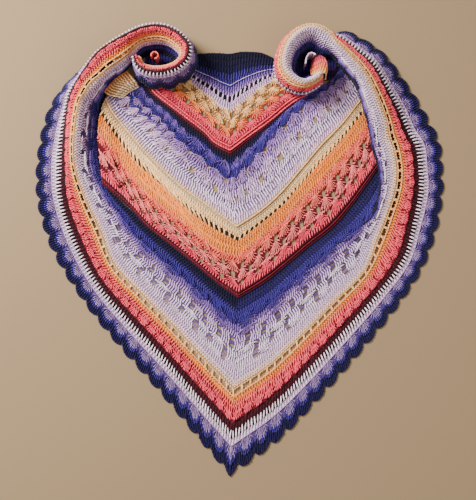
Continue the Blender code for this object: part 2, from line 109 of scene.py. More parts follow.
RIGHT_STRIP = (
    (-12, -332, 0, -73),
    (56, -284, 39, -50),
    (116, -225, 72, -24),
    (176, -159, 107, 5),
    (231, -94, 143, 33),
    (274, -32, 178, 38, 22, 40, 75, 91, 111, 0, 1, 2, 2, 1, 0),
    (298, 27, 201, 57, 25, 44, 74, 88, 96, 0, 3, 6, 8, 8, 5),
    (309, 82, 212, 93, 23, 44, 69, 85, 96, 1, 6, 10, 12, 11, 7),
    (310, 122, 212, 121, 24, 44, 67, 84, 97, 1, 7, 12, 14, 12, 8),
    (307, 163, 204, 145, 25, 46, 70, 87, 103, 2, 9, 15, 16, 13, 9),
    (294, 193, 201, 158, 28, 47, 67, 85, 98, 3, 12, 18, 19, 14, 9),
    (275, 229, 198, 179, 26, 44, 61, 76, 91, 6, 17, 25, 27, 18, 9),
    (253, 263, 190, 213, 26, 43, 56, 71, 80, 14, 28, 36, 37, 21, 9),
    (226, 301, 178, 248, 25, 41, 54, 66, 70, 20, 36, 44, 46, 24, 8),
    (192, 326, 158, 275, 24, 38, 48, 57, 61, 24, 42, 50, 52, 26, 7),
    (160, 338, 139, 295, 18, 29, 37, 44, 47, 26, 44, 54, 54, 26, 6),
)

# Rolled tails: the crest's x and y, the height of its feet, and its outer and inner reach
LEFT_ROLL = (
    (-154, 320, 1, 12, 15), (-138, 326, 1, 12, 15), (-122, 328, 1, 12, 15),
    (-104, 325, 1, 12, 15), (-87, 315, 3, 12, 15), (-74, 298, 3.4, 12, 15),
    (-77, 279, 3.4, 13, 15), (-91, 266, 3.4, 14, 15), (-108, 260, 3.4, 14, 15),
    (-126, 259, 3.4, 13, 15), (-141, 264, 3.4, 12, 13), (-150, 273, 3.4, 8, 10),
    (-153, 284, 3.4, 5, 8),
)
RIGHT_ROLL = (
    (132, 311, 2, 15, 13), (117, 321, 2, 14, 13), (102, 322, 2, 13, 13),
    (88, 314, 2, 13, 13), (76, 300, 3.4, 13, 13), (70, 281, 3.4, 13, 12),
    (70, 266, 3.4, 13, 12), (76, 254, 3.4, 11, 12), (87, 245, 3.4, 8, 12),
    (99, 242, 3.4, 6, 12), (111, 246, 3.4, 5, 12), (119, 252, 3.4, 5, 8),
    (122, 256, 3.4, 5, 5),
)
# A roll's section: each guide's share of the outer reach, or of the inner one below
# nought, and its height as a share of the crest's
LEFT_ROLL_SECTION = ((1.0, 0.0), (0.45, 0.76), (0.0, 1.0), (-0.75, 0.66), (-0.95, 0.36),
                     (-1.0, 0.12), (-1.75, 0.0))
RIGHT_ROLL_SECTION = ((0.55, 0.0), (0.95, 0.18), (1.0, 0.46), (0.6, 0.86), (-0.2, 1.0),
                      (-0.95, 0.46), (-1.85, 0.0))

# Guides of the middle panel, from its maroon edge to the crimson ridge
MIDDLE_LEFT = (
    ((0, -73), (-31, -51), (-64, -23), (-99, 5), (-135, 33), (-158, 58), (-183, 80), (-204, 98)),
    ((0, -8), (-27, 0), (-54, 18), (-81, 42), (-136, 85), (-170, 125), (-193, 158), (-212, 180)),
    ((-2, 36), (-42, 65), (-88, 99), (-133, 142), (-158, 171), (-175, 191), (-190, 209), (-201, 230)),
    ((-12, 109), (-35, 125), (-58, 145), (-88, 168), (-111, 196), (-134, 216), (-152, 234), (-166, 261)),
    ((-12, 151), (-35, 163), (-50, 179), (-73, 197), (-104, 221), (-122, 235), (-133, 246), (-142, 266)),
)
MIDDLE_RIGHT = (
    ((0, -73), (39, -50), (72, -24), (107, 5), (143, 33), (172, 67), (197, 102), (218, 132)),
    ((0, -8), (42, 27), (71, 51), (94, 76), (124, 106), (155, 140), (186, 178), (214, 210)),
    ((-2, 36), (33, 59), (63, 86), (94, 122), (125, 159), (155, 190), (176, 216), (195, 240)),
    ((-12, 109), (11, 128), (43, 165), (76, 202), (107, 229), (133, 247), (150, 260), (171, 281)),
    ((-12, 151), (18, 174), (49, 197), (79, 222), (98, 234), (117, 242), (136, 254), (147, 282)),
)
# Guides of the neck panel above the ridge
NECK_LEFT = (
    ((-12, 213), (-28, 223), (-43, 236), (-58, 247), (-72, 259), (-86, 271), (-99, 282)),
    ((-12, 302), (-28, 303), (-42, 303), (-56, 302), (-68, 301), (-77, 299), (-85, 296)),
)
NECK_RIGHT = (
    ((-12, 213), (5, 227), (22, 240), (38, 252), (54, 262), (68, 270), (80, 277)),
    ((-12, 302), (4, 305), (20, 305), (37, 303), (52, 296), (66, 286), (78, 279)),
)
NAVY_RIGHT_END = (
    ((184, 34.5), (172, 67)),
    ((208, 63), (197, 102)),
    ((230, 110), (218, 132)),
)
FLAP_ROWS = (
    ((-203, 239, 11), (-191, 253, 13), (-181, 262, 14), (-167, 271, 13)),
    ((-200, 236, 12), (-186, 251, 16), (-176, 259, 17), (-163, 266, 16)),
    ((-194, 233, 11), (-180, 248, 15), (-170, 255, 16), (-158, 260, 15)),
    ((-184, 232, 8), (-170, 244, 11), (-163, 249, 12), (-153, 254, 11)),
    ((-177, 232, 4), (-164, 243, 4), (-158, 246, 4), (-151, 250, 4)),
)
# Where the lilac deepens: from one place along to another, between two guides, and by how much
# On the left strip's inner slope the deeper lace is partly its own hue and partly painted shade
LEFT_DEEPENING = (5.0, 8.5, 3.95, 5.05, 0.30)
MIDDLE_DEEPENING = (2.5, 5.5, 2.15, 3.10, 0.36)
# The last of each tail, lying flat inside its ring
LEFT_LINING_ROWS = (
    ((-142, 281, 1.7), (-120, 279, 1.7), (-97, 281, 1.7)),
    ((-142, 306, 1.7), (-120, 308, 1.7), (-97, 306, 1.7)),
)
RIGHT_LINING_ROWS = (
    ((86, 262, 1.7), (118, 259, 1.7), (150, 263, 1.7)),
    ((86, 302, 1.7), (120, 306, 1.7), (152, 304, 1.7)),
)
RIGHT_TIP_ROWS = (
    ((110, 260.6, 22), (117, 260.6, 34), (124, 259.6, 42), (130, 259.6, 38), (132, 259.6, 8)),
    ((109, 270, 18), (117, 270, 32), (126, 270, 44), (132, 270, 40), (135, 270, 6)),
    ((111, 279, 18), (118, 279, 32), (126, 279, 42), (131, 279, 38), (133, 280, 6)),
    ((112, 287, 20), (118, 288, 30), (123, 287, 38), (126, 286, 32), (127, 285, 10)),
)
RIGHT_CORE = ((101, 276), (102, 284), (105, 290), (110, 292), (115.5, 289))
RIGHT_CORE_HEIGHTS = (8.4, 36)
LEFT_CORE_CENTRE = (-125, 291)
LEFT_CORE_RADIUS = 5.5
LEFT_CORE_HEIGHTS = (6.8, 28)
LEFT_CORE_START, LEFT_CORE_STEP, LEFT_CORE_POINTS = 200, 36, 9
# The layer under the left fold: its places and guides on the middle panel, and its gap below
UNDER_FOLD_PLACES = (6.95, 6.7, 6.45)
UNDER_FOLD_GUIDES = (0.2, 0.6, 1.0, 1.4, 1.8, 2.1)
UNDER_FOLD_GAP = 0.3


class Hue(Enum):
    """Colours of the gradient yarn, as sRGB hex."""

    NIGHT = "07031c"
    NAVY = "140a3a"
    BLUE = "3b2a80"
    DUSK = "7c5ca6"
    LILAC = "c397ca"
    PALE_LILAC = "e8c2e0"
    WHITE_LILAC = "fdeaf4"
    ROSE_CREAM = "ffd6c6"
    CREAM = "ffe2b4"
    PEACH = "ffc684"
    GOLD = "d4873a"
    ORANGE = "ff8e36"
    CORAL = "fb6f58"
    ROSE = "fb7d7a"
    PINK = "f54e62"
    CRIMSON = "c8263c"
    WINE = "7c1028"
    MAROON = "3c0010"
    # Dark brown for the middle panel's uncut eyelet row: painted shadow where the eyelets would show the
    # shaded floor
    SHADE = "2e1a14"

    @property
    def linear(self) -> tuple[float, float, float, float]:
        """The colour in scene-linear light, with full alpha."""
        parts = [int(self.value[i:i + 2], 16) / 255 for i in (0, 2, 4)]
        bent = [p / 12.92 if p <= 0.04045 else ((p + 0.055) / 1.055) ** 2.4 for p in parts]
        return (bent[0], bent[1], bent[2], 1.0)


@dataclass(frozen=True)
class YarnFinish:
    """A gradient yarn worked over a panel: the hue at each guide coordinate.

    Attributes:
        name: The material's name.
        slot: The record's material slot that it belongs to; not used.
        last_guide: The guide coordinate at the end of the palette.
        palette: Pairs of guide coordinate and hue, in order.
        ground: The same for the ground cloth between the stitches, where that has its own; its darker hues
            there are partly painted shade in the gaps and eyelets.
    """

    name: str
    slot: str
    last_guide: float
    palette: tuple[tuple[float, Hue], ...]
    ground: tuple[tuple[float, Hue], ...] = ()


STRIP_YARN = YarnFinish("strip_yarn", "lilac_yarn", 6.0, (
    (0.0, Hue.NAVY), (0.34, Hue.NAVY), (0.38, Hue.BLUE), (0.60, Hue.BLUE), (0.66, Hue.DUSK),
    (0.88, Hue.PALE_LILAC), (1.0, Hue.LILAC), (1.06, Hue.PALE_LILAC),
    (1.50, Hue.WHITE_LILAC), (1.62, Hue.WHITE_LILAC), (1.66, Hue.MAROON), (2.02, Hue.MAROON),
    (2.04, Hue.PINK), (2.35, Hue.PINK), (2.60, Hue.CORAL), (2.68, Hue.ORANGE),
    (2.86, Hue.ORANGE), (2.92, Hue.PEACH), (3.10, Hue.PEACH), (3.26, Hue.GOLD),
    (3.32, Hue.CREAM), (3.46, Hue.ROSE_CREAM), (3.74, Hue.ROSE_CREAM), (3.95, Hue.PALE_LILAC),
    (4.30, Hue.WHITE_LILAC),
    (4.62, Hue.PALE_LILAC), (4.86, Hue.LILAC), (4.96, Hue.DUSK), (5.04, Hue.BLUE),
    (5.42, Hue.BLUE), (5.52, Hue.NAVY), (6.0, Hue.NIGHT)),
    ((0.0, Hue.NAVY), (0.44, Hue.NAVY), (0.56, Hue.BLUE), (0.66, Hue.DUSK), (0.96, Hue.DUSK),
     (1.02, Hue.PALE_LILAC), (1.28, Hue.PALE_LILAC), (1.34, Hue.MAROON), (2.06, Hue.MAROON),
     (2.12, Hue.CRIMSON),
     (2.60, Hue.CRIMSON), (2.72, Hue.ORANGE), (3.20, Hue.ORANGE), (3.40, Hue.CREAM),
     (3.80, Hue.PALE_LILAC), (4.20, Hue.LILAC), (4.40, Hue.DUSK), (4.90, Hue.DUSK),
     (5.00, Hue.BLUE), (5.50, Hue.NAVY), (6.0, Hue.NIGHT)))
MIDDLE_YARN = YarnFinish("middle_yarn", "coral_yarn", 4.0, (
    (0.0, Hue.MAROON), (0.07, Hue.WINE), (0.15, Hue.MAROON), (0.19, Hue.PINK), (0.36, Hue.PINK),
    (0.44, Hue.ROSE), (0.60, Hue.ROSE), (0.78, Hue.CORAL), (0.98, Hue.CORAL), (1.08, Hue.ORANGE),
    (1.45, Hue.ORANGE),
    # The eyelet row's dark brown is painted shadow: these eyelets are not cut
    (1.53, Hue.SHADE), (1.58, Hue.SHADE), (1.60, Hue.PEACH), (1.80, Hue.PEACH),
    (1.86, Hue.CREAM), (1.96, Hue.CREAM), (2.02, Hue.ROSE_CREAM), (2.14, Hue.PALE_LILAC),
    (2.30, Hue.WHITE_LILAC), (2.55, Hue.PALE_LILAC), (2.74, Hue.LILAC), (2.95, Hue.DUSK),
    (3.03, Hue.BLUE), (3.48, Hue.BLUE), (3.54, Hue.NAVY), (3.76, Hue.NIGHT),
    (3.82, Hue.MAROON), (4.0, Hue.WINE)),
    # The ground's wine under the pink lattice and its dark brown at the eyelet row are painted shade in the
    # gaps and eyelets
    ((0.0, Hue.WINE), (0.14, Hue.WINE), (0.70, Hue.WINE), (0.90, Hue.CRIMSON),
     (1.02, Hue.ORANGE), (1.48, Hue.ORANGE), (1.50, Hue.SHADE), (1.64, Hue.SHADE),
     (1.67, Hue.PEACH), (2.0, Hue.CREAM), (2.14, Hue.LILAC), (2.40, Hue.DUSK),
     (2.92, Hue.DUSK), (3.0, Hue.BLUE), (3.50, Hue.NAVY), (3.76, Hue.NIGHT), (4.0, Hue.WINE)))
NECK_YARN = YarnFinish("neck_yarn", "neck_yarn", 2.0, (
    (0.0, Hue.PINK), (0.10, Hue.CRIMSON), (0.16, Hue.PINK), (0.34, Hue.PINK),
    (0.44, Hue.CORAL), (0.50, Hue.ORANGE), (0.70, Hue.PEACH), (0.92, Hue.PEACH),
    (1.02, Hue.PALE_LILAC), (1.20, Hue.PALE_LILAC), (1.27, Hue.LILAC), (1.34, Hue.DUSK),
    (1.40, Hue.DUSK), (1.43, Hue.BLUE), (1.64, Hue.BLUE), (1.68, Hue.NAVY), (2.0, Hue.NIGHT)),
    # The ground's night from 1.16 to 1.26, under the eyelet bars, is painted shadow in the uncut eyelets
    ((0.0, Hue.WINE), (0.16, Hue.CRIMSON), (0.42, Hue.CRIMSON), (0.58, Hue.GOLD),
     (0.95, Hue.GOLD), (1.03, Hue.LILAC), (1.14, Hue.LILAC), (1.16, Hue.NIGHT),
     (1.26, Hue.NIGHT), (1.28, Hue.DUSK), (1.42, Hue.BLUE),
     (1.60, Hue.NAVY), (2.0, Hue.NIGHT)))
NAVY_YARN = YarnFinish("navy_yarn", "navy_yarn", 6.0, (
    (0.0, Hue.BLUE), (5.0, Hue.BLUE), (5.42, Hue.BLUE), (5.50, Hue.NAVY), (5.75, Hue.NIGHT),
    (6.0, Hue.NIGHT)))
# The fold's blue is darkened to navy and night: painted shade on the turned-down fold
FOLD_SHADOW_YARN = YarnFinish("fold_yarn", "lilac_yarn", 6.0, (
    (0.0, Hue.NIGHT), (5.0, Hue.NAVY), (5.3, Hue.NIGHT), (6.0, Hue.NIGHT)))
FLAP_YARN = YarnFinish("flap_yarn", "peach_yarn", 4.0, (
    (0.0, Hue.ORANGE), (1.2, Hue.PEACH), (2.8, Hue.CREAM), (4.0, Hue.CREAM)),
    ((0.0, Hue.ORANGE), (4.0, Hue.PEACH)))
TAIL_YARN = YarnFinish("tail_yarn", "coral_yarn", 3.0, (
    (0.0, Hue.PEACH), (0.7, Hue.ORANGE), (1.3, Hue.CORAL), (2.2, Hue.PINK), (3.0, Hue.WINE)))
TIP_YARN = YarnFinish("tip_yarn", "lilac_yarn", 1.0, (
    (0.0, Hue.LILAC), (0.5, Hue.PALE_LILAC), (1.0, Hue.WHITE_LILAC)))
LINING_YARN = YarnFinish("lining_yarn", "navy_yarn", 1.0, (
    (0.0, Hue.NAVY), (0.6, Hue.BLUE), (1.0, Hue.NAVY)))
CORE_YARN = YarnFinish("core_yarn", "coral_yarn", 1.0, (
    (0.0, Hue.CRIMSON), (0.5, Hue.PINK), (1.0, Hue.CORAL)))


def smooth(value: np.ndarray, start: float, end: float) -> np.ndarray:
    """Goes softly from 0 at start to 1 at end."""
    share = np.clip((value - start) / (end - start), 0.0, 1.0)
    return share * share * (3.0 - 2.0 * share)


def curve_weights(t: np.ndarray, count: int) -> tuple[np.ndarray, np.ndarray]:
    """Gives a smooth curve's first control index and its four weights at each t.

    Args:
        t: Places along the curve, counted in its points.
        count: How many points the curve has.

    Returns:
        The index of the point before each place, and the weights of four points there.
    """
    index = np.clip(np.floor(t).astype(int), 0, count - 2)
    f = t - index
    weights = 0.5 * np.stack([-f + 2 * f * f - f ** 3, 2 - 5 * f * f + 3 * f ** 3,
                              f + 4 * f * f - 3 * f ** 3, -f * f + f ** 3])
    return index, weights


class Surface:
    """A smooth surface through sections; s counts sections and r counts guides."""

    def __init__(self, sections: Sequence[Sequence[Sequence[float]]],
                 lift: Callable[[np.ndarray, np.ndarray], np.ndarray] | None = None) -> None:
        """Keeps the sections with a spare one past each border.

        Args:
            sections: Rows of guide points, in millimetres.
            lift: Gives the height added at s and r, or None.
        """
        grid = np.array(sections, dtype=float)
        grid = np.concatenate([2 * grid[:1] - grid[1:2], grid, 2 * grid[-1:] - grid[-2:-1]])
        grid = np.concatenate([2 * grid[:, :1] - grid[:, 1:2], grid,
                               2 * grid[:, -1:] - grid[:, -2:-1]], axis=1)
        self.grid = grid
        self.lift = lift
        self.deepening: tuple[float, float, float, float, float] | None = None
        self.end = float(len(sections) - 1)
        self.last_guide = float(len(sections[0]) - 1)
        self.turn = 1.0
        middle = np.array([0.5])
        if self.normals(middle, middle)[0, 2] < 0:
            self.turn = -1.0
        self.edge_places = np.linspace(0.0, self.end, int(self.end) * 24 + 1)
        self.edge_lengths = self.lengths(self.edge_places, 0.0)

    def points(self, s: np.ndarray, r: np.ndarray) -> np.ndarray:
        """Gives the cloth's middle points at s and r."""
        s, r = np.broadcast_arrays(np.asarray(s, float), np.asarray(r, float))
        i, along = curve_weights(s, int(self.end) + 1)
        j, across = curve_weights(r, int(self.last_guide) + 1)
        found = np.zeros(s.shape + (3,))
        for a in range(4):
            for b in range(4):
                found += self.grid[i + a, j + b] * (along[a] * across[b])[..., None]
        if self.lift:
            found[..., 2] += self.lift(s, r)
        found[..., 2] = np.maximum(found[..., 2], HALF_WALL)
        return found

    def normals(self, s: np.ndarray, r: np.ndarray) -> np.ndarray:
        """Gives the direction square to the cloth, on its right side."""
        step = 0.02
        low_s, high_s = np.maximum(s - step, 0), np.minimum(s + step, self.end)
        low_r, high_r = np.maximum(r - step, 0), np.minimum(r + step, self.last_guide)
        along = self.points(high_s, r) - self.points(low_s, r)
        across = self.points(s, high_r) - self.points(s, low_r)
        square = np.cross(along, across)
        return square / np.linalg.norm(square, axis=-1, keepdims=True) * self.turn

    def lengths(self, places: np.ndarray, r: float) -> np.ndarray:
        """Gives the way from the first place to each one, along guide r."""
        found = self.points(places, np.full(len(places), float(r)))
        steps = np.linalg.norm(np.diff(found, axis=0), axis=1)
        return np.concatenate([[0.0], np.cumsum(steps)])

    def evenly(self, start: float, stop: float, r: float, pitch: float) -> np.ndarray:
        """Gives places between start and stop, one pitch apart along guide r."""
        stops = np.linspace(start, stop, 241)
        lengths = self.lengths(stops, r)
        count = max(round(lengths[-1] / pitch), 1)
        return np.interp(np.linspace(0.0, lengths[-1], count + 1), lengths, stops)

    def at_distance(self, distance: np.ndarray) -> np.ndarray:
        """Gives s at a distance along the edge from the spine."""
        return np.interp(distance, self.edge_lengths, self.edge_places)

    def edge_distance(self, s: np.ndarray) -> np.ndarray:
        """Gives the distance along the edge from the spine to s."""
        return np.interp(s, self.edge_places, self.edge_lengths)


@dataclass(frozen=True)
class Arm:
    """One side of a V-shaped panel, from start to stop on its surface."""

    surface: Surface
    start: float
    stop: float


def strip_section(row: Sequence[float]) -> list[tuple[float, float, float]]:
    """Gives the seven guide points of one section of the outer strip."""
    edge, inner = np.array(row[0:2], float), np.array(row[2:4], float)
    length = float(np.linalg.norm(inner - edge))
    way = (inner - edge) / length
    places = row[4:9] if len(row) > 4 else [share * length for share in FLAT_SHARES]
    heights = row[9:15] if len(row) > 4 else [0] * 6
    guides = []
    for place, height in zip([0, *places, length], [0, *heights]):
        on_floor = edge + way * place
        guides.append((on_floor[0], on_floor[1], height + HALF_WALL))
    return guides


def roll_sections(table: Sequence[Sequence[float]], shape: Sequence[tuple[float, float]],
                  height: float, outward: float) -> list[list[tuple[float, float, float]]]:
    """Gives the sections of a rolled tail, square to its crest.

    Args:
        table: The crest's x and y, the height of its feet and its two reaches.
        shape: Each guide's share of a reach, and of the crest's height.
        height: The crest's height.
        outward: 1 or -1, the side on which the scallops hang.

    Returns:
        One list of guide points for each row of the table.
    """
    crest = np.array([row[0:2] for row in table], float)
    sections = []
    for i, (x, y, foot, reach_out, reach_in) in enumerate(table):
        along = crest[min(i + 1, len(crest) - 1)] - crest[max(i - 1, 0)]
        out = np.array([-along[1], along[0]]) / np.linalg.norm(along) * outward
        guides = []
        for share, rise in shape:
            at = np.array([x, y]) + out * share * (reach_out if share > 0 else reach_in)
            guides.append((at[0], at[1], foot + HALF_WALL + (height - foot) * rise))
        sections.append(guides)
    return sections


def stations(guides: Sequence[Sequence[tuple[float, float]]]) -> list[list[tuple[float, float, float]]]:
    """Turns a flat panel's guides, each from the spine outwards, into sections."""
    return [[(*guide[k], HALF_WALL) for guide in guides] for k in range(len(guides[0]))]


def deepened(surface: Surface, s: np.ndarray, shade: np.ndarray) -> np.ndarray:
    """Draws the lace's lilac on towards the blue, further along the arm; on the left strip's inner slope
    this is partly the lace's own darker hue and partly painted shade.

    Args:
        surface: The surface, which says from where, how far and on which guides.
        s: Places along it.
        shade: Guide coordinates of the hues there.

    Returns:
        The guide coordinates to colour by.
    """
    if surface.deepening is None:
        return shade
    start, end, low, high, amount = surface.deepening
    within = smooth(shade, low, low + 0.2) * (1.0 - smooth(shade, high - 0.2, high))
    return shade + amount * smooth(s, start, end) * within


def left_fold_lift(s: np.ndarray, r: np.ndarray) -> np.ndarray:
    """Lifts the middle panel's left side, where it is folded over the strip."""
    return FOLD_LIFT * smooth(s, 5.0, 6.3) * (1.0 - smooth(r, 1.9, 2.5))


def upright(points: Sequence[Sequence[float]], heights: tuple[float, float]) -> list[list[tuple]]:
    """Gives the sections of a cloth that stands on a line of points."""
    return [[(x, y, z) for z in heights] for x, y in points]


class Shawl:
    """All the surfaces of the laid shawl."""

    def __init__(self) -> None:
        """Builds each surface from its table."""
        self.left = Surface([strip_section(row) for row in LEFT_STRIP]
                            + roll_sections(LEFT_ROLL, LEFT_ROLL_SECTION, CURL_HEIGHT_LEFT, 1.0))
        self.right = Surface([strip_section(row) for row in RIGHT_STRIP]
                             + roll_sections(RIGHT_ROLL, RIGHT_ROLL_SECTION, CURL_HEIGHT_RIGHT, -1.0))
        self.middle_left = Surface(stations(MIDDLE_LEFT), left_fold_lift)
        self.middle_right = Surface(stations(MIDDLE_RIGHT))
        self.left.deepening = LEFT_DEEPENING
        self.middle_left.deepening = MIDDLE_DEEPENING
        self.neck_left = self.neck(self.middle_left, NECK_LEFT)
        self.neck_right = self.neck(self.middle_right, NECK_RIGHT)
        sections = []
        for row in RIGHT_STRIP[:5]:
            guides = strip_section(row)
            sections.append([guides[LACE], guides[NAVY]])
        for outer, inner in NAVY_RIGHT_END:
            sections.append([(*outer, HALF_WALL), (*inner, HALF_WALL)])
        self.navy_right = Surface(sections)

    @staticmethod
    def neck(middle: Surface, table: Sequence[Sequence[tuple[float, float]]]) -> Surface:
        """Builds one arm of the neck panel on the middle panel's ridge."""
        places = np.arange(len(table[0]), dtype=float)
        ridge = middle.points(places, np.full(len(places), middle.last_guide))
        return Surface([[tuple(ridge[k])] + [(*guide[k], HALF_WALL) for guide in table]
                        for k in range(len(places))])


def to_frame(points: np.ndarray) -> np.ndarray:
    """Moves points from the floor's millimetres into the frame's metres."""
    moved = points.copy()
    moved[..., 0] -= FOOTPRINT_CENTRE[0]
    moved[..., 1] -= FOOTPRINT_CENTRE[1]
    return moved * MM


def in_scene(name: str, data: bpy.types.ID) -> bpy.types.Object:
    """Makes an object of its data and links it to the scene."""
    thing = bpy.data.objects.new(name, data)
    bpy.context.collection.objects.link(thing)
    return thing


@dataclass(frozen=True)
class Hole:
    """A hole in one cell of a cloth, in shares of the cell.

    Attributes:
        left: Where it starts along the row.
        right: Where it ends along the row.
        low: Where it starts across the row.
        high: Where it ends across the row.
        lean: How far its inner end leans along the row.
    """

    left: float
    right: float
    low: float
    high: float
    lean: float = 0.0


class Cloth:
    """A thin crocheted ground in a grid of cells, with rounded holes cut through it."""

    # How much yarn stays inside a hole's edge, as a share of a cell
    SPARE = 0.06

    def __init__(self, name: str, arms: Sequence[Arm], rows: Sequence[float], pitch: float,
                 guide: float) -> None:
        """Lays out the cells.

        Args:
            name: The piece's name.
            arms: The panel's sides, the left one first if there are two.
            rows: Guide coordinates of the cells' borders.
            pitch: The cells' width in millimetres.
            guide: The guide along which the pitch is measured.
        """
        self.name = name
        self.rows = list(rows)
        self.holes: dict[tuple[int, int], Hole] = {}
        self.columns: list[tuple[Surface, float]] = []
        for k, arm in enumerate(arms):
            places = arm.surface.evenly(arm.start, arm.stop, guide, pitch)
            if k == 0 and len(arms) == 2:
                self.columns += [(arm.surface, s) for s in places[::-1]]
                self.spine = len(places) - 1
            else:
                self.columns += [(arm.surface, s) for s in places[len(arms) - 1:]]
        self.scalloped = False
        self.area = 0.0
        self.length = 0.0

    def alternate(self, row: int, first: int, step: int, hole: Hole, spare: int = 1) -> None:
        """Gives the same hole to every step-th cell of a row, clear of the panel's ends."""
        for i in range(spare, len(self.columns) - 1 - spare):
            if (i - first) % step == 0:
                self.holes[(i, row)] = hole

    def covers(self, surface: Surface, s: np.ndarray, r: float) -> np.ndarray:
        """Tells which places lie over a hole.

        Args:
            surface: The surface that the places are on.
            s: Places along it.
            r: Their guide coordinate.

        Returns:
            True for each place over a hole.
        """
        over = np.zeros(len(s), bool)
        for (i, j), hole in self.holes.items():
            low = self.rows[j] + (self.rows[j + 1] - self.rows[j]) * hole.low
            high = self.rows[j] + (self.rows[j + 1] - self.rows[j]) * hole.high
            if not low < r < high:
                continue
            side, a, b = self.cell(i)
            if side is surface:
                ends = sorted((a + (b - a) * (hole.left + self.SPARE),
                               a + (b - a) * (hole.right - self.SPARE)))
                over |= (s > ends[0]) & (s < ends[1])
        return over

    def cell(self, i: int) -> tuple[Surface, float, float]:
        """Gives the surface of a column of cells, and s at its two sides."""
        surface, b = self.columns[i + 1]
        before, a = self.columns[i]
        if before is surface:
            return surface, a, b
        return (surface, 0.0, b) if b > 0 else (before, a, 0.0)

    def waved(self, surface: Surface, s: np.ndarray, r: np.ndarray) -> np.ndarray:
        """Draws the first guide in between the scallops."""
        if not self.scalloped:
            return r
        phase = surface.edge_distance(s) / SCALLOP_PITCH + 0.5
        notch = 1.0 - np.abs(np.sin(math.pi * phase)) ** SCALLOP_ROUNDNESS
        return r + SCALLOP_DEPTH * notch * np.maximum(1.0 - 2.0 * r, 0.0)

    def build(self) -> bpy.types.Object:
        """Makes the cloth's mesh, as a closed thin wall with a UV map of its rows.

        Returns:
            The cloth's object.
        """
        places: list[tuple[Surface, float, float]] = []
        index: dict[tuple[int, int], int] = {}
        faces: list[tuple[int, ...]] = []
        fine = CELL_SPLIT

        def corner(i: int, j: int) -> int:
            """Gives the vertex at a fine column and a fine row, making it if needed."""
            if (i, j) not in index:
                cell = min(i // fine, len(self.columns) - 2)
                surface, a, b = self.cell(cell)
                row = min(j // fine, len(self.rows) - 2)
                r = self.rows[row] + (self.rows[row + 1] - self.rows[row]) * (j / fine - row)
                index[(i, j)] = len(places)
                places.append((surface, a + (b - a) * (i / fine - cell), r))
            return index[(i, j)]

        border = [(m, 0) for m in range(fine)] + [(fine, n) for n in range(fine)]
        border += [(fine - m, fine - n) for m, n in border]
        for i in range(len(self.columns) - 1):
            for j in range(len(self.rows) - 1):
                left, low = i * fine, j * fine
                if (i, j) not in self.holes:
                    for m in range(left, left + fine):
                        for n in range(low, low + fine):
                            faces.append((corner(m, n), corner(m + 1, n), corner(m + 1, n + 1),
                                          corner(m, n + 1)))
                    continue
                rim = range(len(places), len(places) + len(border))
                places.extend(self.hole_place(i, j, m / fine, n / fine) for m, n in border)
                outer = [corner(left + m, low + n) for m, n in border]
                for k in range(len(border)):
                    after = (k + 1) % len(border)
                    faces.append((outer[k], outer[after], rim[after], rim[k]))
        return self.finish(places, faces)

    def hole_place(self, i: int, j: int, u: float, v: float) -> tuple[Surface, float, float]:
        """Gives the place on a hole's rounded rim that faces a place on its cell's border."""
        hole = self.holes[(i, j)]
        x, y = 2 * u - 1, 2 * v - 1
        size = (abs(x) ** 3 + abs(y) ** 3) ** (1 / 3)
        x, y = x / size, y / size
        across = (hole.low + hole.high) / 2 + y * (hole.high - hole.low) / 2
        along = (hole.left + hole.right) / 2 + x * (hole.right - hole.left) / 2 + hole.lean * y
        surface, a, b = self.cell(i)
        return surface, a + (b - a) * along, self.rows[j] + (self.rows[j + 1] - self.rows[j]) * across

    def finish(self, places: list[tuple[Surface, float, float]],
               faces: list[tuple[int, ...]]) -> bpy.types.Object:
        """Gives the flat layout its place, its thickness and its UV map."""
        middle = np.zeros((len(places), 3))
        normal = np.zeros((len(places), 3))
        rows = np.zeros((len(places), 2))
        for surface in {id(p[0]): p[0] for p in places}.values():
            mine = [k for k, place in enumerate(places) if place[0] is surface]
            s = np.array([places[k][1] for k in mine])
            r = np.array([places[k][2] for k in mine])
            waved = self.waved(surface, s, r)
            middle[mine] = surface.points(s, waved)
            normal[mine] = surface.normals(s, np.clip(waved, 0.05, surface.last_guide))
            rows[mine, 0] = surface.edge_distance(s)
            rows[mine, 1] = deepened(surface, s, r)
        count = len(places)
        skin = np.array(faces)
        a, b, c, d = (middle[skin[:, k]] for k in range(4))
        self.area = float(np.linalg.norm(np.cross(c - a, d - b), axis=1).sum() / 2) * MM * MM
        facing = np.cross(b - a, d - a)
        if float((facing * normal[skin[:, 0]]).sum()) < 0:
            skin = skin[:, ::-1]
        used = dict.fromkeys((int(face[k]), int(face[(k + 1) % 4])) for face in skin for k in range(4))
        rims = [(b, a, a + count, b + count) for a, b in used if (b, a) not in used]
        every = [tuple(f) for f in skin.tolist()]
        every += [tuple(v + count for v in reversed(f)) for f in skin.tolist()]
        every += rims
        half = normal * CLOTH / 2
        points = to_frame(np.concatenate([middle + half, middle - half]))
        mesh = bpy.data.meshes.new(self.name)
        mesh.from_pydata(points.tolist(), [], every)
        layer = mesh.uv_layers.new(name="rows")
        corners = np.zeros(len(mesh.loops), int)
        mesh.loops.foreach_get("vertex_index", corners)
        layer.uv.foreach_set("vector", rows[corners % count].astype(np.float32).ravel())
        mesh.shade_smooth()
        mesh.set_sharp_from_angle(angle=math.radians(50))
        self.length = self.measured_length()
        return in_scene(self.name, mesh)

    def measured_length(self) -> float:
        """Gives the panel's length along its middle row, in metres."""
        middle = (self.rows[0] + self.rows[-1]) / 2
        points = [surface.points(np.array([s]), np.array([middle]))[0] for surface, s in self.columns]
        return float(sum(np.linalg.norm(b - a) for a, b in zip(points, points[1:]))) * MM


class Shape(Enum):
    """The yarn shapes that stitches are made of."""

    POST = "post_shape"
    SPIKE = "spike_shape"
    LOOP = "loop_shape"
    LINK = "link_shape"
    BAR = "bar_shape"


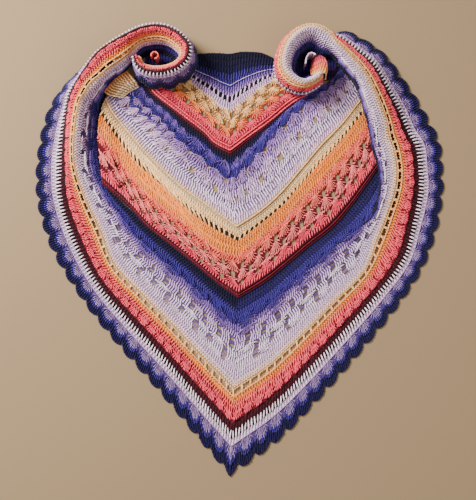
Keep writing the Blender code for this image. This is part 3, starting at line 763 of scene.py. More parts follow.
# Each shape's path: how far along the row, along the stitch from its outer end (-0.5) to
# its inner end (0.5) and up, then its half width and half height
SHAPE_PATHS = {
    Shape.POST: ((0.02, 0.54, -0.1, 0.20, 0.30), (-0.03, 0.20, 0.05, 0.30, 0.50),
                 (0.05, -0.14, 0.1, 0.27, 0.46), (0.0, -0.34, 0.2, 0.50, 0.52),
                 (0.0, -0.53, 0.0, 0.26, 0.30)),
    Shape.SPIKE: ((0.0, 0.52, -0.2, 0.10, 0.16), (0.0, 0.30, 0.1, 0.26, 0.40),
                  (0.0, 0.0, 0.3, 0.36, 0.52), (0.0, -0.30, 0.2, 0.38, 0.52),
                  (0.0, -0.52, 0.0, 0.20, 0.26)),
    Shape.LOOP: ((-0.30, 0.52, -0.1, 0.13, 0.30), (-0.34, 0.10, 0.1, 0.17, 0.46),
                 (-0.30, -0.32, 0.3, 0.17, 0.46), (0.0, -0.50, 0.3, 0.19, 0.46),
                 (0.30, -0.32, 0.3, 0.17, 0.46), (0.30, 0.10, 0.1, 0.17, 0.46),
                 (0.26, 0.52, -0.1, 0.13, 0.30)),
    Shape.LINK: ((0.16, 0.62, -0.1, 0.20, 0.30), (0.10, 0.24, 0.1, 0.46, 0.52),
                 (-0.10, -0.24, 0.1, 0.46, 0.52), (-0.16, -0.62, -0.1, 0.20, 0.30)),
    Shape.BAR: ((0.0, 0.55, 0.0, 0.50, 0.44), (0.0, 0.0, 0.1, 0.38, 0.50), (0.0, -0.55, 0.0, 0.50, 0.44)),
}
SHAPE_SIDES = 4


def make_shape(shape: Shape) -> bpy.types.Object:
    """Makes the small mesh of one yarn shape, a closed tube round its path.

    Args:
        shape: Which shape to make.

    Returns:
        An object that the stitch tree copies, removed when the scene is done.
    """
    path = SHAPE_PATHS[shape]
    points, uvs, faces = [], [], []
    for k, (x, y, z, width, height) in enumerate(path):
        before, after = path[max(k - 1, 0)], path[min(k + 1, len(path) - 1)]
        way = np.array([after[0] - before[0], after[1] - before[1]])
        side = np.array([-way[1], way[0]]) / np.linalg.norm(way)
        for m in range(SHAPE_SIDES):
            angle = 2 * math.pi * (m + 0.5) / SHAPE_SIDES
            across = side * math.cos(angle) * width
            points.append((x + across[0], y + across[1], z + math.sin(angle) * height))
            uvs.append((m / SHAPE_SIDES, k / (len(path) - 1)))
    for k in range(len(path) - 1):
        for m in range(SHAPE_SIDES):
            after = (m + 1) % SHAPE_SIDES
            faces.append((k * SHAPE_SIDES + m, k * SHAPE_SIDES + after,
                          (k + 1) * SHAPE_SIDES + after, (k + 1) * SHAPE_SIDES + m))
    faces.append(tuple(reversed(range(SHAPE_SIDES))))
    faces.append(tuple(range((len(path) - 1) * SHAPE_SIDES, len(path) * SHAPE_SIDES)))
    mesh = bpy.data.meshes.new(shape.value)
    mesh.from_pydata(points, [], faces)
    layer = mesh.uv_layers.new(name="ply")
    for polygon in mesh.polygons:
        wraps = max(uvs[v][0] for v in polygon.vertices) > 0.7 and len(polygon.vertices) == 4
        for loop in polygon.loop_indices:
            u, v = uvs[mesh.loops[loop].vertex_index]
            if wraps and u < 0.1 and polygon.index % SHAPE_SIDES == SHAPE_SIDES - 1:
                u = 1.0
            layer.uv[loop].vector = (u, v)
    checked = sum(p.normal.dot(p.center) for p in mesh.polygons)
    if checked < 0:
        mesh.flip_normals()
    mesh.shade_smooth()
    return in_scene(shape.value, mesh)


def add(tree: bpy.types.NodeTree, kind: str, inputs: dict | None = None,
        **settings: object) -> bpy.types.Node:
    """Adds a node.

    Args:
        tree: The tree to add it to.
        kind: The node's type.
        inputs: The socket or the value that each input takes, by its name or number.
        settings: The node's own properties.

    Returns:
        The node.
    """
    node = tree.nodes.new(kind)
    for name, value in settings.items():
        setattr(node, name, value)
    for name, value in (inputs or {}).items():
        if isinstance(value, bpy.types.NodeSocket):
            tree.links.new(value, node.inputs[name])
        else:
            node.inputs[name].default_value = value
    return node


def worked_out(tree: bpy.types.NodeTree, operation: str,
               *values: bpy.types.NodeSocket | float) -> bpy.types.NodeSocket:
    """Adds a math node on sockets or numbers, and gives its result."""
    return add(tree, "ShaderNodeMath", dict(enumerate(values)), operation=operation).outputs[0]


class StitchTree:
    """The Geometry Nodes tree that puts a yarn shape at each laid stitch."""

    INPUTS = (("Yarn shape", "NodeSocketObject"), ("Loose turn", "NodeSocketFloat"),
              ("Loose size", "NodeSocketFloat"), ("Seed", "NodeSocketInt"), ("Yarn", "NodeSocketMaterial"))

    def __init__(self) -> None:
        """Builds the tree once for the whole scene."""
        tree = bpy.data.node_groups.new("Stitches on their places", "GeometryNodeTree")
        socket = tree.interface.new_socket
        socket("Places", in_out="INPUT", socket_type="NodeSocketGeometry")
        self.sockets = {name: socket(name, in_out="INPUT", socket_type=kind).identifier
                        for name, kind in self.INPUTS}
        socket("Stitches", in_out="OUTPUT", socket_type="NodeSocketGeometry")
        given = tree.nodes.new("NodeGroupInput").outputs
        shape = add(tree, "GeometryNodeObjectInfo", {"Object": given["Yarn shape"]})
        turn, size = (add(tree, "GeometryNodeInputNamedAttribute", {"Name": name},
                          data_type="FLOAT_VECTOR").outputs["Attribute"] for name in ("turn", "size"))
        swell = self.random(tree, given, "Loose size", 1.0, "FLOAT")
        grow = add(tree, "ShaderNodeVectorMath", {0: size, "Scale": swell}, operation="SCALE")
        put = add(tree, "GeometryNodeInstanceOnPoints", {
            "Points": given["Places"], "Instance": shape.outputs["Geometry"], "Rotation": turn,
            "Scale": grow.outputs["Vector"]})
        loosen = add(tree, "GeometryNodeRotateInstances", {
            "Instances": put.outputs["Instances"],
            "Rotation": self.random(tree, given, "Loose turn", 0.0, "FLOAT_VECTOR")})
        chance = add(tree, "FunctionNodeRandomValue", {"Seed": given["Seed"]})
        tone = add(tree, "GeometryNodeStoreNamedAttribute", {
            "Geometry": loosen.outputs["Instances"], "Name": "tone", "Value": chance.outputs[1]},
            domain="INSTANCE")
        real = add(tree, "GeometryNodeRealizeInstances", {"Geometry": tone.outputs["Geometry"]})
        dress = add(tree, "GeometryNodeSetMaterial", {"Geometry": real.outputs["Geometry"],
                                                      "Material": given["Yarn"]})
        add(tree, "NodeGroupOutput", {"Stitches": dress.outputs["Geometry"]})
        self.tree = tree

    @staticmethod
    def random(tree: bpy.types.NodeTree, given: bpy.types.bpy_prop_collection, reach: str,
               middle: float, kind: str) -> bpy.types.NodeSocket:
        """Adds a random value within a named input's reach of its middle.

        Args:
            tree: The tree to add to.
            given: The sockets of the tree's input node.
            reach: The input that says how far the value strays.
            middle: The value that it strays from.
            kind: FLOAT or FLOAT_VECTOR.

        Returns:
            The socket with the value.
        """
        low, high = (worked_out(tree, way, middle, given[reach]) for way in ("SUBTRACT", "ADD"))
        first, out = (0, 0) if kind == "FLOAT_VECTOR" else (2, 1)
        return add(tree, "FunctionNodeRandomValue", {first: low, first + 1: high, "Seed": given["Seed"]},
                   data_type=kind).outputs[out]


@dataclass(frozen=True)
class Row:
    """One row of stitches, from its outer line to its inner line.

    Attributes:
        outer: Guide coordinate of the stitches' tops.
        inner: Guide coordinate of their feet.
        shape: The yarn shape.
        pitch: Millimetres from stitch to stitch.
        shade: Guide coordinate whose hue the row has, or None for its own.
        width: The stitch's width as a share of the pitch.
        thickness: The yarn's thickness in millimetres.
        lift: How far the yarn stands off the cloth's middle, in millimetres.
        slant: How far the tops lean along the row, in pitches.
        fan: Stitches in one fan, or 1.
        gather: How far a fan's feet draw together, from 0 to 1.
        arch: How far a fan's sides fall back at the top, in guides.
    """

    outer: float
    inner: float
    shape: Shape = Shape.POST
    pitch: float = 5.2
    shade: float | None = None
    width: float = 0.80
    thickness: float = 2.5
    lift: float = 0.0
    slant: float = 0.12
    fan: int = 1
    gather: float = 0.0
    arch: float = 0.0


def plain(pitch: float, *lines: tuple[float, ...], **rest: float) -> list[Row]:
    """Gives rows of posts of one pitch.

    Args:
        pitch: Millimetres from stitch to stitch.
        lines: Each row's outer and inner guide, its hue's guide, and its slant if it has its own.
        rest: What else the rows share.

    Returns:
        The rows, in the order of the lines.
    """
    return [Row(line[0], line[1], pitch=pitch, shade=line[2],
                slant=line[3] if len(line) > 3 else Row.slant, **rest) for line in lines]


@dataclass(frozen=True)
class Cord:
    """A cord or chain along a row.

    Attributes:
        at: Its guide coordinate.
        shade: Guide coordinate whose hue it has.
        thickness: The cord's width in millimetres.
        lift: How far it stands off the cloth's middle.
        pitch: Millimetres from link to link.
    """

    at: float
    shade: float
    thickness: float = 2.2
    lift: float = 1.0
    pitch: float = 4.2


@dataclass(frozen=True)
class Fan:
    """A fan of stitches from one foot, worked on the cells of a cloth's row.

    Attributes:
        shade: Guide coordinate whose hue it has.
        spokes: How many stitches it has.
        spread: Its width at the top, in cells.
        foot: Its width at the foot, in cells.
        arch: How far its sides fall back at the top, as a share of the cell's height.
        width: The yarn's width in millimetres.
        thickness: Its thickness in millimetres.
        lift: How far it stands off the cloth's middle.
        step: A fan on every step-th cell.
        first: The first of those cells.
    """

    shade: float
    spokes: int = 7
    spread: float = 1.4
    foot: float = 0.2
    arch: float = 0.25
    width: float = 2.5
    thickness: float = 2.4
    lift: float = 0.6
    step: int = 1
    first: int = 0


class Yarnwork:
    """Collects the stitches of one piece and makes them into a mesh."""

    loose_turn = 0.13
    loose_size = 0.10

    def __init__(self, name: str) -> None:
        """Starts with no stitches."""
        self.name = name
        self.laid: dict[Shape, list[tuple[np.ndarray, ...]]] = {}

    def lay(self, shape: Shape, surface: Surface, top: tuple[np.ndarray, np.ndarray],
            foot: tuple[np.ndarray, np.ndarray], width: float, thickness: float, lift: float,
            shade: np.ndarray | float) -> None:
        """Lays stitches from their tops to their feet.

        Args:
            shape: The yarn shape.
            surface: The surface that they lie on.
            top: s and r of the outer ends.
            foot: s and r of the inner ends.
            width: The stitches' width in millimetres.
            thickness: Their thickness in millimetres.
            lift: How far they stand off the cloth's middle.
            shade: Guide coordinates of their hues.
        """
        if len(top[0]) == 0:
            return
        tops, feet = surface.points(*top), surface.points(*foot)
        middle_s, middle_r = (np.asarray(top[0]) + foot[0]) / 2, (np.asarray(top[1]) + foot[1]) / 2
        normal = surface.normals(middle_s, np.clip(middle_r, 0.02, surface.last_guide))
        back = feet - tops
        length = np.linalg.norm(back, axis=1)
        back /= length[:, None]
        normal -= back * (normal * back).sum(axis=1, keepdims=True)
        normal /= np.linalg.norm(normal, axis=1, keepdims=True)
        along = np.cross(back, normal)
        centre = (tops + feet) / 2 + normal * lift
        turn = np.stack([np.arctan2(back[:, 2], normal[:, 2]), np.arcsin(np.clip(-along[:, 2], -1, 1)),
                         np.arctan2(along[:, 1], along[:, 0])], axis=1)
        size = np.stack([np.full(len(length), width), length, np.full(len(length), thickness)], axis=1)
        self.laid.setdefault(shape, []).append(
            (to_frame(centre), turn, size * MM, np.broadcast_to(shade, length.shape)))

    def rows(self, arms: Sequence[Arm], rows: Sequence[Row], cloth: Cloth) -> None:
        """Lays several rows of stitches."""
        for row in rows:
            self.row(arms, row, cloth)

    def row(self, arms: Sequence[Arm], row: Row, cloth: Cloth) -> None:
        """Lays one row of stitches on each arm, clear of the cloth's holes."""
        middle = (row.outer + row.inner) / 2
        for k, arm in enumerate(arms):
            places = arm.surface.evenly(arm.start, arm.stop, middle, row.pitch)
            s = (places[1:] + places[:-1]) / 2
            step = np.gradient(s) if len(s) > 1 else np.zeros(1)
            group = np.arange(len(s)) // row.fan
            centre = np.interp(np.minimum(group * row.fan + (row.fan - 1) / 2, len(s) - 1),
                               np.arange(len(s)), s)
            aside = (s - centre) / np.maximum(np.abs(step) * row.fan / 2, 1e-6)
            lean = row.slant * (1 if k == 0 and len(arms) == 2 else -1)
            top_s = np.clip(s + step * lean, 0.0, arm.surface.end)
            foot_s = s + (centre - s) * row.gather - step * lean * 0.5
            top_r = row.outer + row.arch * np.abs(aside) ** 2
            keep = ~cloth.covers(arm.surface, s, middle)
            shade = deepened(arm.surface, s, np.full(len(s), middle if row.shade is None else row.shade))
            self.lay(row.shape, arm.surface, (top_s[keep], top_r[keep]),
                     (np.clip(foot_s, 0.0, arm.surface.end)[keep], np.full(keep.sum(), row.inner)),
                     row.pitch * row.width, row.thickness, row.lift, shade[keep])

    def fans(self, cloth: Cloth, row: int, fan: Fan) -> None:
        """Lays a fan on each cell of a row that has no hole, and a chain round its top."""
        outer, inner = cloth.rows[row], cloth.rows[row + 1]
        found: dict[int, tuple[Surface, list[tuple[float, float]]]] = {}
        for i in range(len(cloth.columns) - 1):
            if (i, row) in cloth.holes or (i - fan.first) % fan.step:
                continue
            surface, a, b = cloth.cell(i)
            found.setdefault(id(surface), (surface, []))[1].append((a, b))
        for surface, cells in found.values():
            a, b = np.array(cells).T
            centre, width = ((a + b) / 2)[:, None], (b - a)[:, None]
            aside = np.linspace(-1.0, 1.0, fan.spokes)[None]
            top = np.clip(centre + width * fan.spread / 2 * aside, 0.0, surface.end)
            foot = np.clip(centre + width * fan.foot / 2 * aside, 0.0, surface.end)
            rise = outer + (inner - outer) * fan.arch * aside ** 2 + 0 * centre
            low = np.full(top.size, float(inner))
            self.lay(Shape.POST, surface, (top.ravel(), rise.ravel()), (foot.ravel(), low),
                     fan.width, fan.thickness, fan.lift, fan.shade)

    def cords(self, arms: Sequence[Arm], *cords: Cord) -> None:
        """Lays each cord, a chain of links along a row."""
        for cord in cords:
            for arm in arms:
                s = arm.surface.evenly(arm.start, arm.stop, cord.at, cord.pitch)
                r = np.full(len(s) - 1, float(cord.at))
                self.lay(Shape.LINK, arm.surface, (s[:-1], r), (s[1:], r), cord.thickness,
                         cord.thickness, cord.lift, cord.shade)

    def make(self, trees: StitchTree, shapes: dict[Shape, bpy.types.Object],
             yarn: bpy.types.Material, seed: int) -> bpy.types.Object:
        """Runs the stitch tree on every shape and joins what it makes.

        Args:
            trees: The stitch tree.
            shapes: The shapes' objects.
            yarn: The yarn's material.
            seed: The seed of the small differences between stitches.

        Returns:
            One plain mesh object at the origin.
        """
        parts = []
        for shape, laid in self.laid.items():
            centre, turn, size, shade = (np.concatenate(column) for column in zip(*laid))
            places = bpy.data.meshes.new(self.name + "_places")
            places.vertices.add(len(centre))
            places.vertices.foreach_set("co", centre.astype(np.float32).ravel())
            for name, kind, values in (("turn", "FLOAT_VECTOR", turn), ("size", "FLOAT_VECTOR", size)):
                places.attributes.new(name, kind, "POINT").data.foreach_set(
                    "vector", values.astype(np.float32).ravel())
            places.attributes.new("row", "FLOAT", "POINT").data.foreach_set(
                "value", shade.astype(np.float32).ravel())
            holder = in_scene(self.name + "_holder", places)
            modifier = holder.modifiers.new("Stitches", "NODES")
            modifier.node_group = trees.tree
            modifier[trees.sockets["Yarn shape"]] = shapes[shape]
            modifier[trees.sockets["Loose turn"]] = self.loose_turn
            modifier[trees.sockets["Loose size"]] = self.loose_size
            modifier[trees.sockets["Seed"]] = seed
            modifier[trees.sockets["Yarn"]] = yarn
            graph = bpy.context.evaluated_depsgraph_get()
            parts.append(bpy.data.meshes.new_from_object(holder.evaluated_get(graph), depsgraph=graph))
            bpy.data.objects.remove(holder, do_unlink=True)
        return in_scene(self.name, join_meshes(self.name, parts))


def join_meshes(name: str, parts: Sequence[bpy.types.Mesh]) -> bpy.types.Mesh:
    """Joins meshes with the same layers into one.

    Args:
        name: The new mesh's name.
        parts: The meshes, which are removed.

    Returns:
        The joined mesh.
    """
    things = [in_scene(name + "_part", part) for part in parts]
    with bpy.context.temp_override(active_object=things[0], object=things[0],
                                   selected_objects=things, selected_editable_objects=things):
        if len(things) > 1:
            bpy.ops.object.join()
    joined = things[0].data
    bpy.data.objects.remove(things[0], do_unlink=True)
    joined.name = name
    return joined


@dataclass(frozen=True)
class Layer:
    """How a layer of the work looks: the stitches, or the ground cloth between them, darkened as painted
    shade.

    Attributes:
        uv_map: The UV map that its plies follow.
        roughness: Its roughness.
        plies: Plies round a strand.
        twists: Twists along it.
        ply_shade_swing: How much the plies darken its colour in their grooves and lighten it on their
            crowns, as painted shade and highlight.
        relief: The plies' height in metres.
        depth: What each hue is multiplied by; below 1 it is painted shade on the ground between the
            stitches.
    """

    uv_map: str
    roughness: float
    plies: float
    twists: float
    ply_shade_swing: float
    relief: float
    depth: float


# The ground cloth's hues are multiplied by 0.40: painted shade in the gaps between the stitches
STITCHES = Layer("ply", 0.78, 2.0, 3.0, 0.22, 0.0004, 1.0)
GROUND = Layer("rows", 0.88, 0.2, 9.0, 0.4, 0.0006, 0.40)


class YarnShop:
    """Makes the yarn's matt cotton materials from two shared node groups."""

    COTTON = {"Sheen Weight": 0.12, "Sheen Roughness": 0.5, "Specular IOR Level": 0.15}
    FIBRE_SCALES = {"Mottle scale": 260.0, "Fibre scale": 2600.0}
    FIBRE_DETAIL = 2.0
    FIBRE_RELIEF = 0.25
    MOTTLE = {"To Min": 0.82, "To Max": 1.18}
    # The brightness in a ply's groove: painted shade
    PAINTED_GROOVE_SHADE = 0.80
    TONE_SWING = 0.14
    BUMP_STRENGTH = 0.8

    def __init__(self) -> None:
        """Builds the shared groups once."""
        self.fibre = self.fibre_group()
        self.ply = self.ply_group()
        self.made: dict[str, bpy.types.Material] = {}

    @staticmethod
    def group(name: str, place: str, numbers: Sequence[str],
              outputs: Sequence[str]) -> tuple[bpy.types.NodeTree, bpy.types.bpy_prop_collection,
                                               bpy.types.bpy_prop_collection]:
        """Starts a shader group with named sockets.

        Args:
            name: The group's name.
            place: The name of its vector input.
            numbers: The names of its value inputs.
            outputs: The names of its value outputs.

        Returns:
            The group, what it is given and what it makes.
        """
        tree = bpy.data.node_groups.new(name, "ShaderNodeTree")
        tree.interface.new_socket(place, in_out="INPUT", socket_type="NodeSocketVector")
        for way, labels in (("INPUT", numbers), ("OUTPUT", outputs)):
            for label in labels:
                tree.interface.new_socket(label, in_out=way, socket_type="NodeSocketFloat")
        return tree, tree.nodes.new("NodeGroupInput").outputs, tree.nodes.new("NodeGroupOutput").inputs

    def fibre_group(self) -> bpy.types.NodeTree:
        """Fine fibres and soft mottling, from Object coordinates."""
        tree, given, made = self.group("Cotton fibre", "Position", list(self.FIBRE_SCALES),
                                       ("Mottle", "Fibre"))
        for scale, out in zip(self.FIBRE_SCALES, ("Mottle", "Fibre")):
            noise = add(tree, "ShaderNodeTexNoise", {"Vector": given["Position"], "Scale": given[scale],
                                                     "Detail": self.FIBRE_DETAIL})
            tree.links.new(noise.outputs["Fac"], made[out])
        return tree

    def ply_group(self) -> bpy.types.NodeTree:
        """The twisted plies of the yarn, from a stitch's own UV map."""
        tree, given, made = self.group("Twisted plies", "Round and along", ("Plies", "Twists"), ("Ply",))
        split = add(tree, "ShaderNodeSeparateXYZ", {"Vector": given["Round and along"]}).outputs
        both = worked_out(tree, "ADD", worked_out(tree, "MULTIPLY", split["X"], given["Plies"]),
                          worked_out(tree, "MULTIPLY", split["Y"], given["Twists"]))
        wave = worked_out(tree, "SINE", worked_out(tree, "MULTIPLY", both, 2 * math.pi))
        level = add(tree, "ShaderNodeMapRange", {"From Min": -1.0, "Value": wave})
        tree.links.new(level.outputs["Result"], made["Ply"])
        return tree

    @staticmethod
    def hue(tree: bpy.types.NodeTree, row: bpy.types.NodeSocket, finish: YarnFinish,
            layer: Layer) -> bpy.types.NodeSocket:
        """Adds the colour ramp of a yarn's palette.

        Args:
            tree: The material's tree.
            row: The socket with the guide coordinate.
            finish: The yarn.
            layer: Which layer the hue is for.

        Returns:
            The socket with the hue, multiplied by the layer's depth, which darkens the ground as painted
            shade.
        """
        ramp = add(tree, "ShaderNodeValToRGB", {"Fac": worked_out(tree, "DIVIDE", row, finish.last_guide)})
        elements = ramp.color_ramp.elements
        while len(elements) > 1:
            elements.remove(elements[-1])
        palette = finish.ground if layer is GROUND and finish.ground else finish.palette
        for k, (place, hue) in enumerate(palette):
            at = place / finish.last_guide
            stop = elements[0] if k == 0 else elements.new(at)
            stop.position = at
            stop.color = tuple(part * layer.depth for part in hue.linear[:3]) + (1.0,)
        return ramp.outputs["Color"]

    def material(self, finish: YarnFinish, layer: Layer) -> bpy.types.Material:
        """Makes the material of a piece's stitches or of the cloth below them.

        Args:
            finish: The yarn and its palettes.
            layer: STITCHES or GROUND.

        Returns:
            The material, made once for each finish and layer.
        """
        name = finish.name if layer is STITCHES else finish.name.replace("yarn", "ground")
        if name in self.made:
            return self.made[name]
        material = self.made[name] = bpy.data.materials.new(name)
        material.use_nodes = True
        tree = material.node_tree
        shader = tree.nodes["Principled BSDF"]
        for label, value in {"Roughness": layer.roughness, **self.COTTON}.items():
            shader.inputs[label].default_value = value
        place = tree.nodes.new("ShaderNodeTexCoord").outputs["Object"]
        fibre = add(tree, "ShaderNodeGroup", {"Position": place, **self.FIBRE_SCALES}, node_tree=self.fibre)
        uv = add(tree, "ShaderNodeUVMap", uv_map=layer.uv_map).outputs["UV"]
        ply = add(tree, "ShaderNodeGroup", {"Round and along": uv, "Plies": layer.plies,
                                            "Twists": layer.twists}, node_tree=self.ply).outputs["Ply"]
        # The ply wave darkens each strand's grooves and lightens its crowns, painted shade and highlight;
        # each stitch's random tone is added
        painted_shade_and_tone = worked_out(tree, "MULTIPLY_ADD", ply, layer.ply_shade_swing, self.PAINTED_GROOVE_SHADE)
        if layer is STITCHES:
            row, tone = (add(tree, "ShaderNodeAttribute", attribute_name=label).outputs["Fac"]
                         for label in ("row", "tone"))
            painted_shade_and_tone = worked_out(tree, "MULTIPLY_ADD", tone, self.TONE_SWING, painted_shade_and_tone)
        else:
            row = add(tree, "ShaderNodeSeparateXYZ", {"Vector": uv}).outputs["Y"]
        mottle = add(tree, "ShaderNodeMapRange", {**self.MOTTLE, "Value": fibre.outputs["Mottle"]})
        bright = worked_out(tree, "MULTIPLY", painted_shade_and_tone, mottle.outputs["Result"])
        colour = add(tree, "ShaderNodeVectorMath", {0: self.hue(tree, row, finish, layer),
                                                    "Scale": bright}, operation="SCALE")
        height = worked_out(tree, "MULTIPLY_ADD", fibre.outputs["Fibre"], self.FIBRE_RELIEF, ply)
        bump = add(tree, "ShaderNodeBump", {"Strength": self.BUMP_STRENGTH, "Distance": layer.relief,
                                            "Height": height})
        tree.links.new(colour.outputs["Vector"], shader.inputs["Base Color"])
        tree.links.new(bump.outputs["Normal"], shader.inputs["Normal"])
        return material


@dataclass
class Workshop:
    """What every panel needs: the surfaces, the shapes, the tree and the yarns."""

    shawl: Shawl
    trees: StitchTree
    shapes: dict[Shape, bpy.types.Object]
    yarns: YarnShop
    seed: int = 11
    least_width: float = 0.0102

    def panel(self, cloth: Cloth, work: Yarnwork, finish: YarnFinish, nodes: Sequence[str],
              held: str) -> None:
        """Makes a panel's cloth and stitches, and puts them in the place of its solids.

        Args:
            cloth: The laid-out cloth.
            work: Its stitches.
            finish: The yarn.
            nodes: The solids that the cloth stands for.
            held: How the cloth lies; not used.
        """
        self.seed += 1
        sheet = cloth.build()
        sheet.data.materials.append(self.yarns.material(finish, GROUND))
        stitches = work.make(self.trees, self.shapes, self.yarns.material(finish, STITCHES), self.seed)
        for piece in (sheet, stitches):
            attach(piece, "root")
        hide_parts(*nodes)


# The strip's rows of stitches by its guides: border, lilac lace, then blue and navy
BORDER_ROWS = (
    Row(1.02, 1.30, pitch=5.4, thickness=2.4),
    Row(1.56, 2.04, shape=Shape.BAR, pitch=5.4, shade=1.8, thickness=1.8),
    Row(1.28, 1.74, shape=Shape.SPIKE, pitch=5.4, shade=1.55, width=0.72, thickness=3.0, lift=0.9,
        slant=0.0),
    Row(2.10, 2.40, pitch=3.1, shade=2.20, width=1.0, thickness=3.6, lift=1.2, fan=6, gather=0.50,
        arch=0.11),
    Row(2.30, 2.56, shape=Shape.LOOP, pitch=5.6, shade=2.38, thickness=3.0, lift=0.9, fan=4,
        gather=0.3, arch=0.03),
    *plain(4.4, (2.52, 2.70, 2.56, 0.5), thickness=2.6, lift=0.4),
    *plain(4.6, (2.68, 2.79, 2.74, -0.4), (2.79, 2.95, 2.84, 0.4)),
    *plain(4.4, (3.14, 3.33, 3.34)),
    *plain(4.2, (3.35, 3.47, 3.42, 0.4), (3.48, 3.60, 3.56, -0.3), (3.60, 3.73, 3.68, 0.4),
           (3.73, 3.86, 3.82, -0.3), (3.86, 4.00, 3.95, 0.3)),
)
BORDER_CORDS = (Cord(1.02, 0.98, 1.7), Cord(3.21, 3.15, 1.9), Cord(3.34, 3.26, 1.3, 1.1),
                Cord(2.88, 2.95, 1.9))
LACE_ROWS = (
    *plain(4.0, (4.00, 4.12, 4.10), (4.12, 4.25, 4.20, -0.2)),
    *plain(4.1, (4.25, 4.36, 4.32, 0.35), (4.36, 4.47, 4.42, -0.3), (4.47, 4.58, 4.54, 0.35),
           (4.58, 4.69, 4.70, -0.3), (4.69, 4.82, 4.84, 0.4), (4.82, 5.00, 4.95, -0.3)),
)
# The lace's bursts of lighter and darker yarn, each with its row of cells
LACE_BURSTS = (
    (1, Fan(4.10, 7, 1.5, 0.3, 0.5, 1.6, 2.2, 1.2, 4, 2)),
    (3, Fan(4.34, 9, 2.2, 0.2, 0.6, 1.7, 2.3, 1.5, 4)),
    (5, Fan(4.90, 9, 2.4, 0.2, 0.6, 1.7, 2.3, 1.5, 4)),
    (6, Fan(4.96, 9, 2.6, 0.2, 0.5, 1.8, 2.4, 1.7, 4)),
    (7, Fan(5.02, 9, 2.6, 0.3, 0.6, 1.9, 2.5, 1.6, 4)),
)
NAVY_ROWS = (
    Row(4.92, 5.20, pitch=3.4, shade=5.12, fan=8, gather=0.4, arch=0.13, thickness=3.2, lift=1.4),
    *plain(4.2, (5.18, 5.34, 5.20, 0.5), thickness=2.6, lift=0.4),
    *plain(4.2, (5.34, 5.50, 5.40, -0.4)),
    *plain(4.6, (5.50, 5.66, 5.55), (5.66, 5.83, 5.70, -0.2), (5.83, 6.00, 5.9)),
)


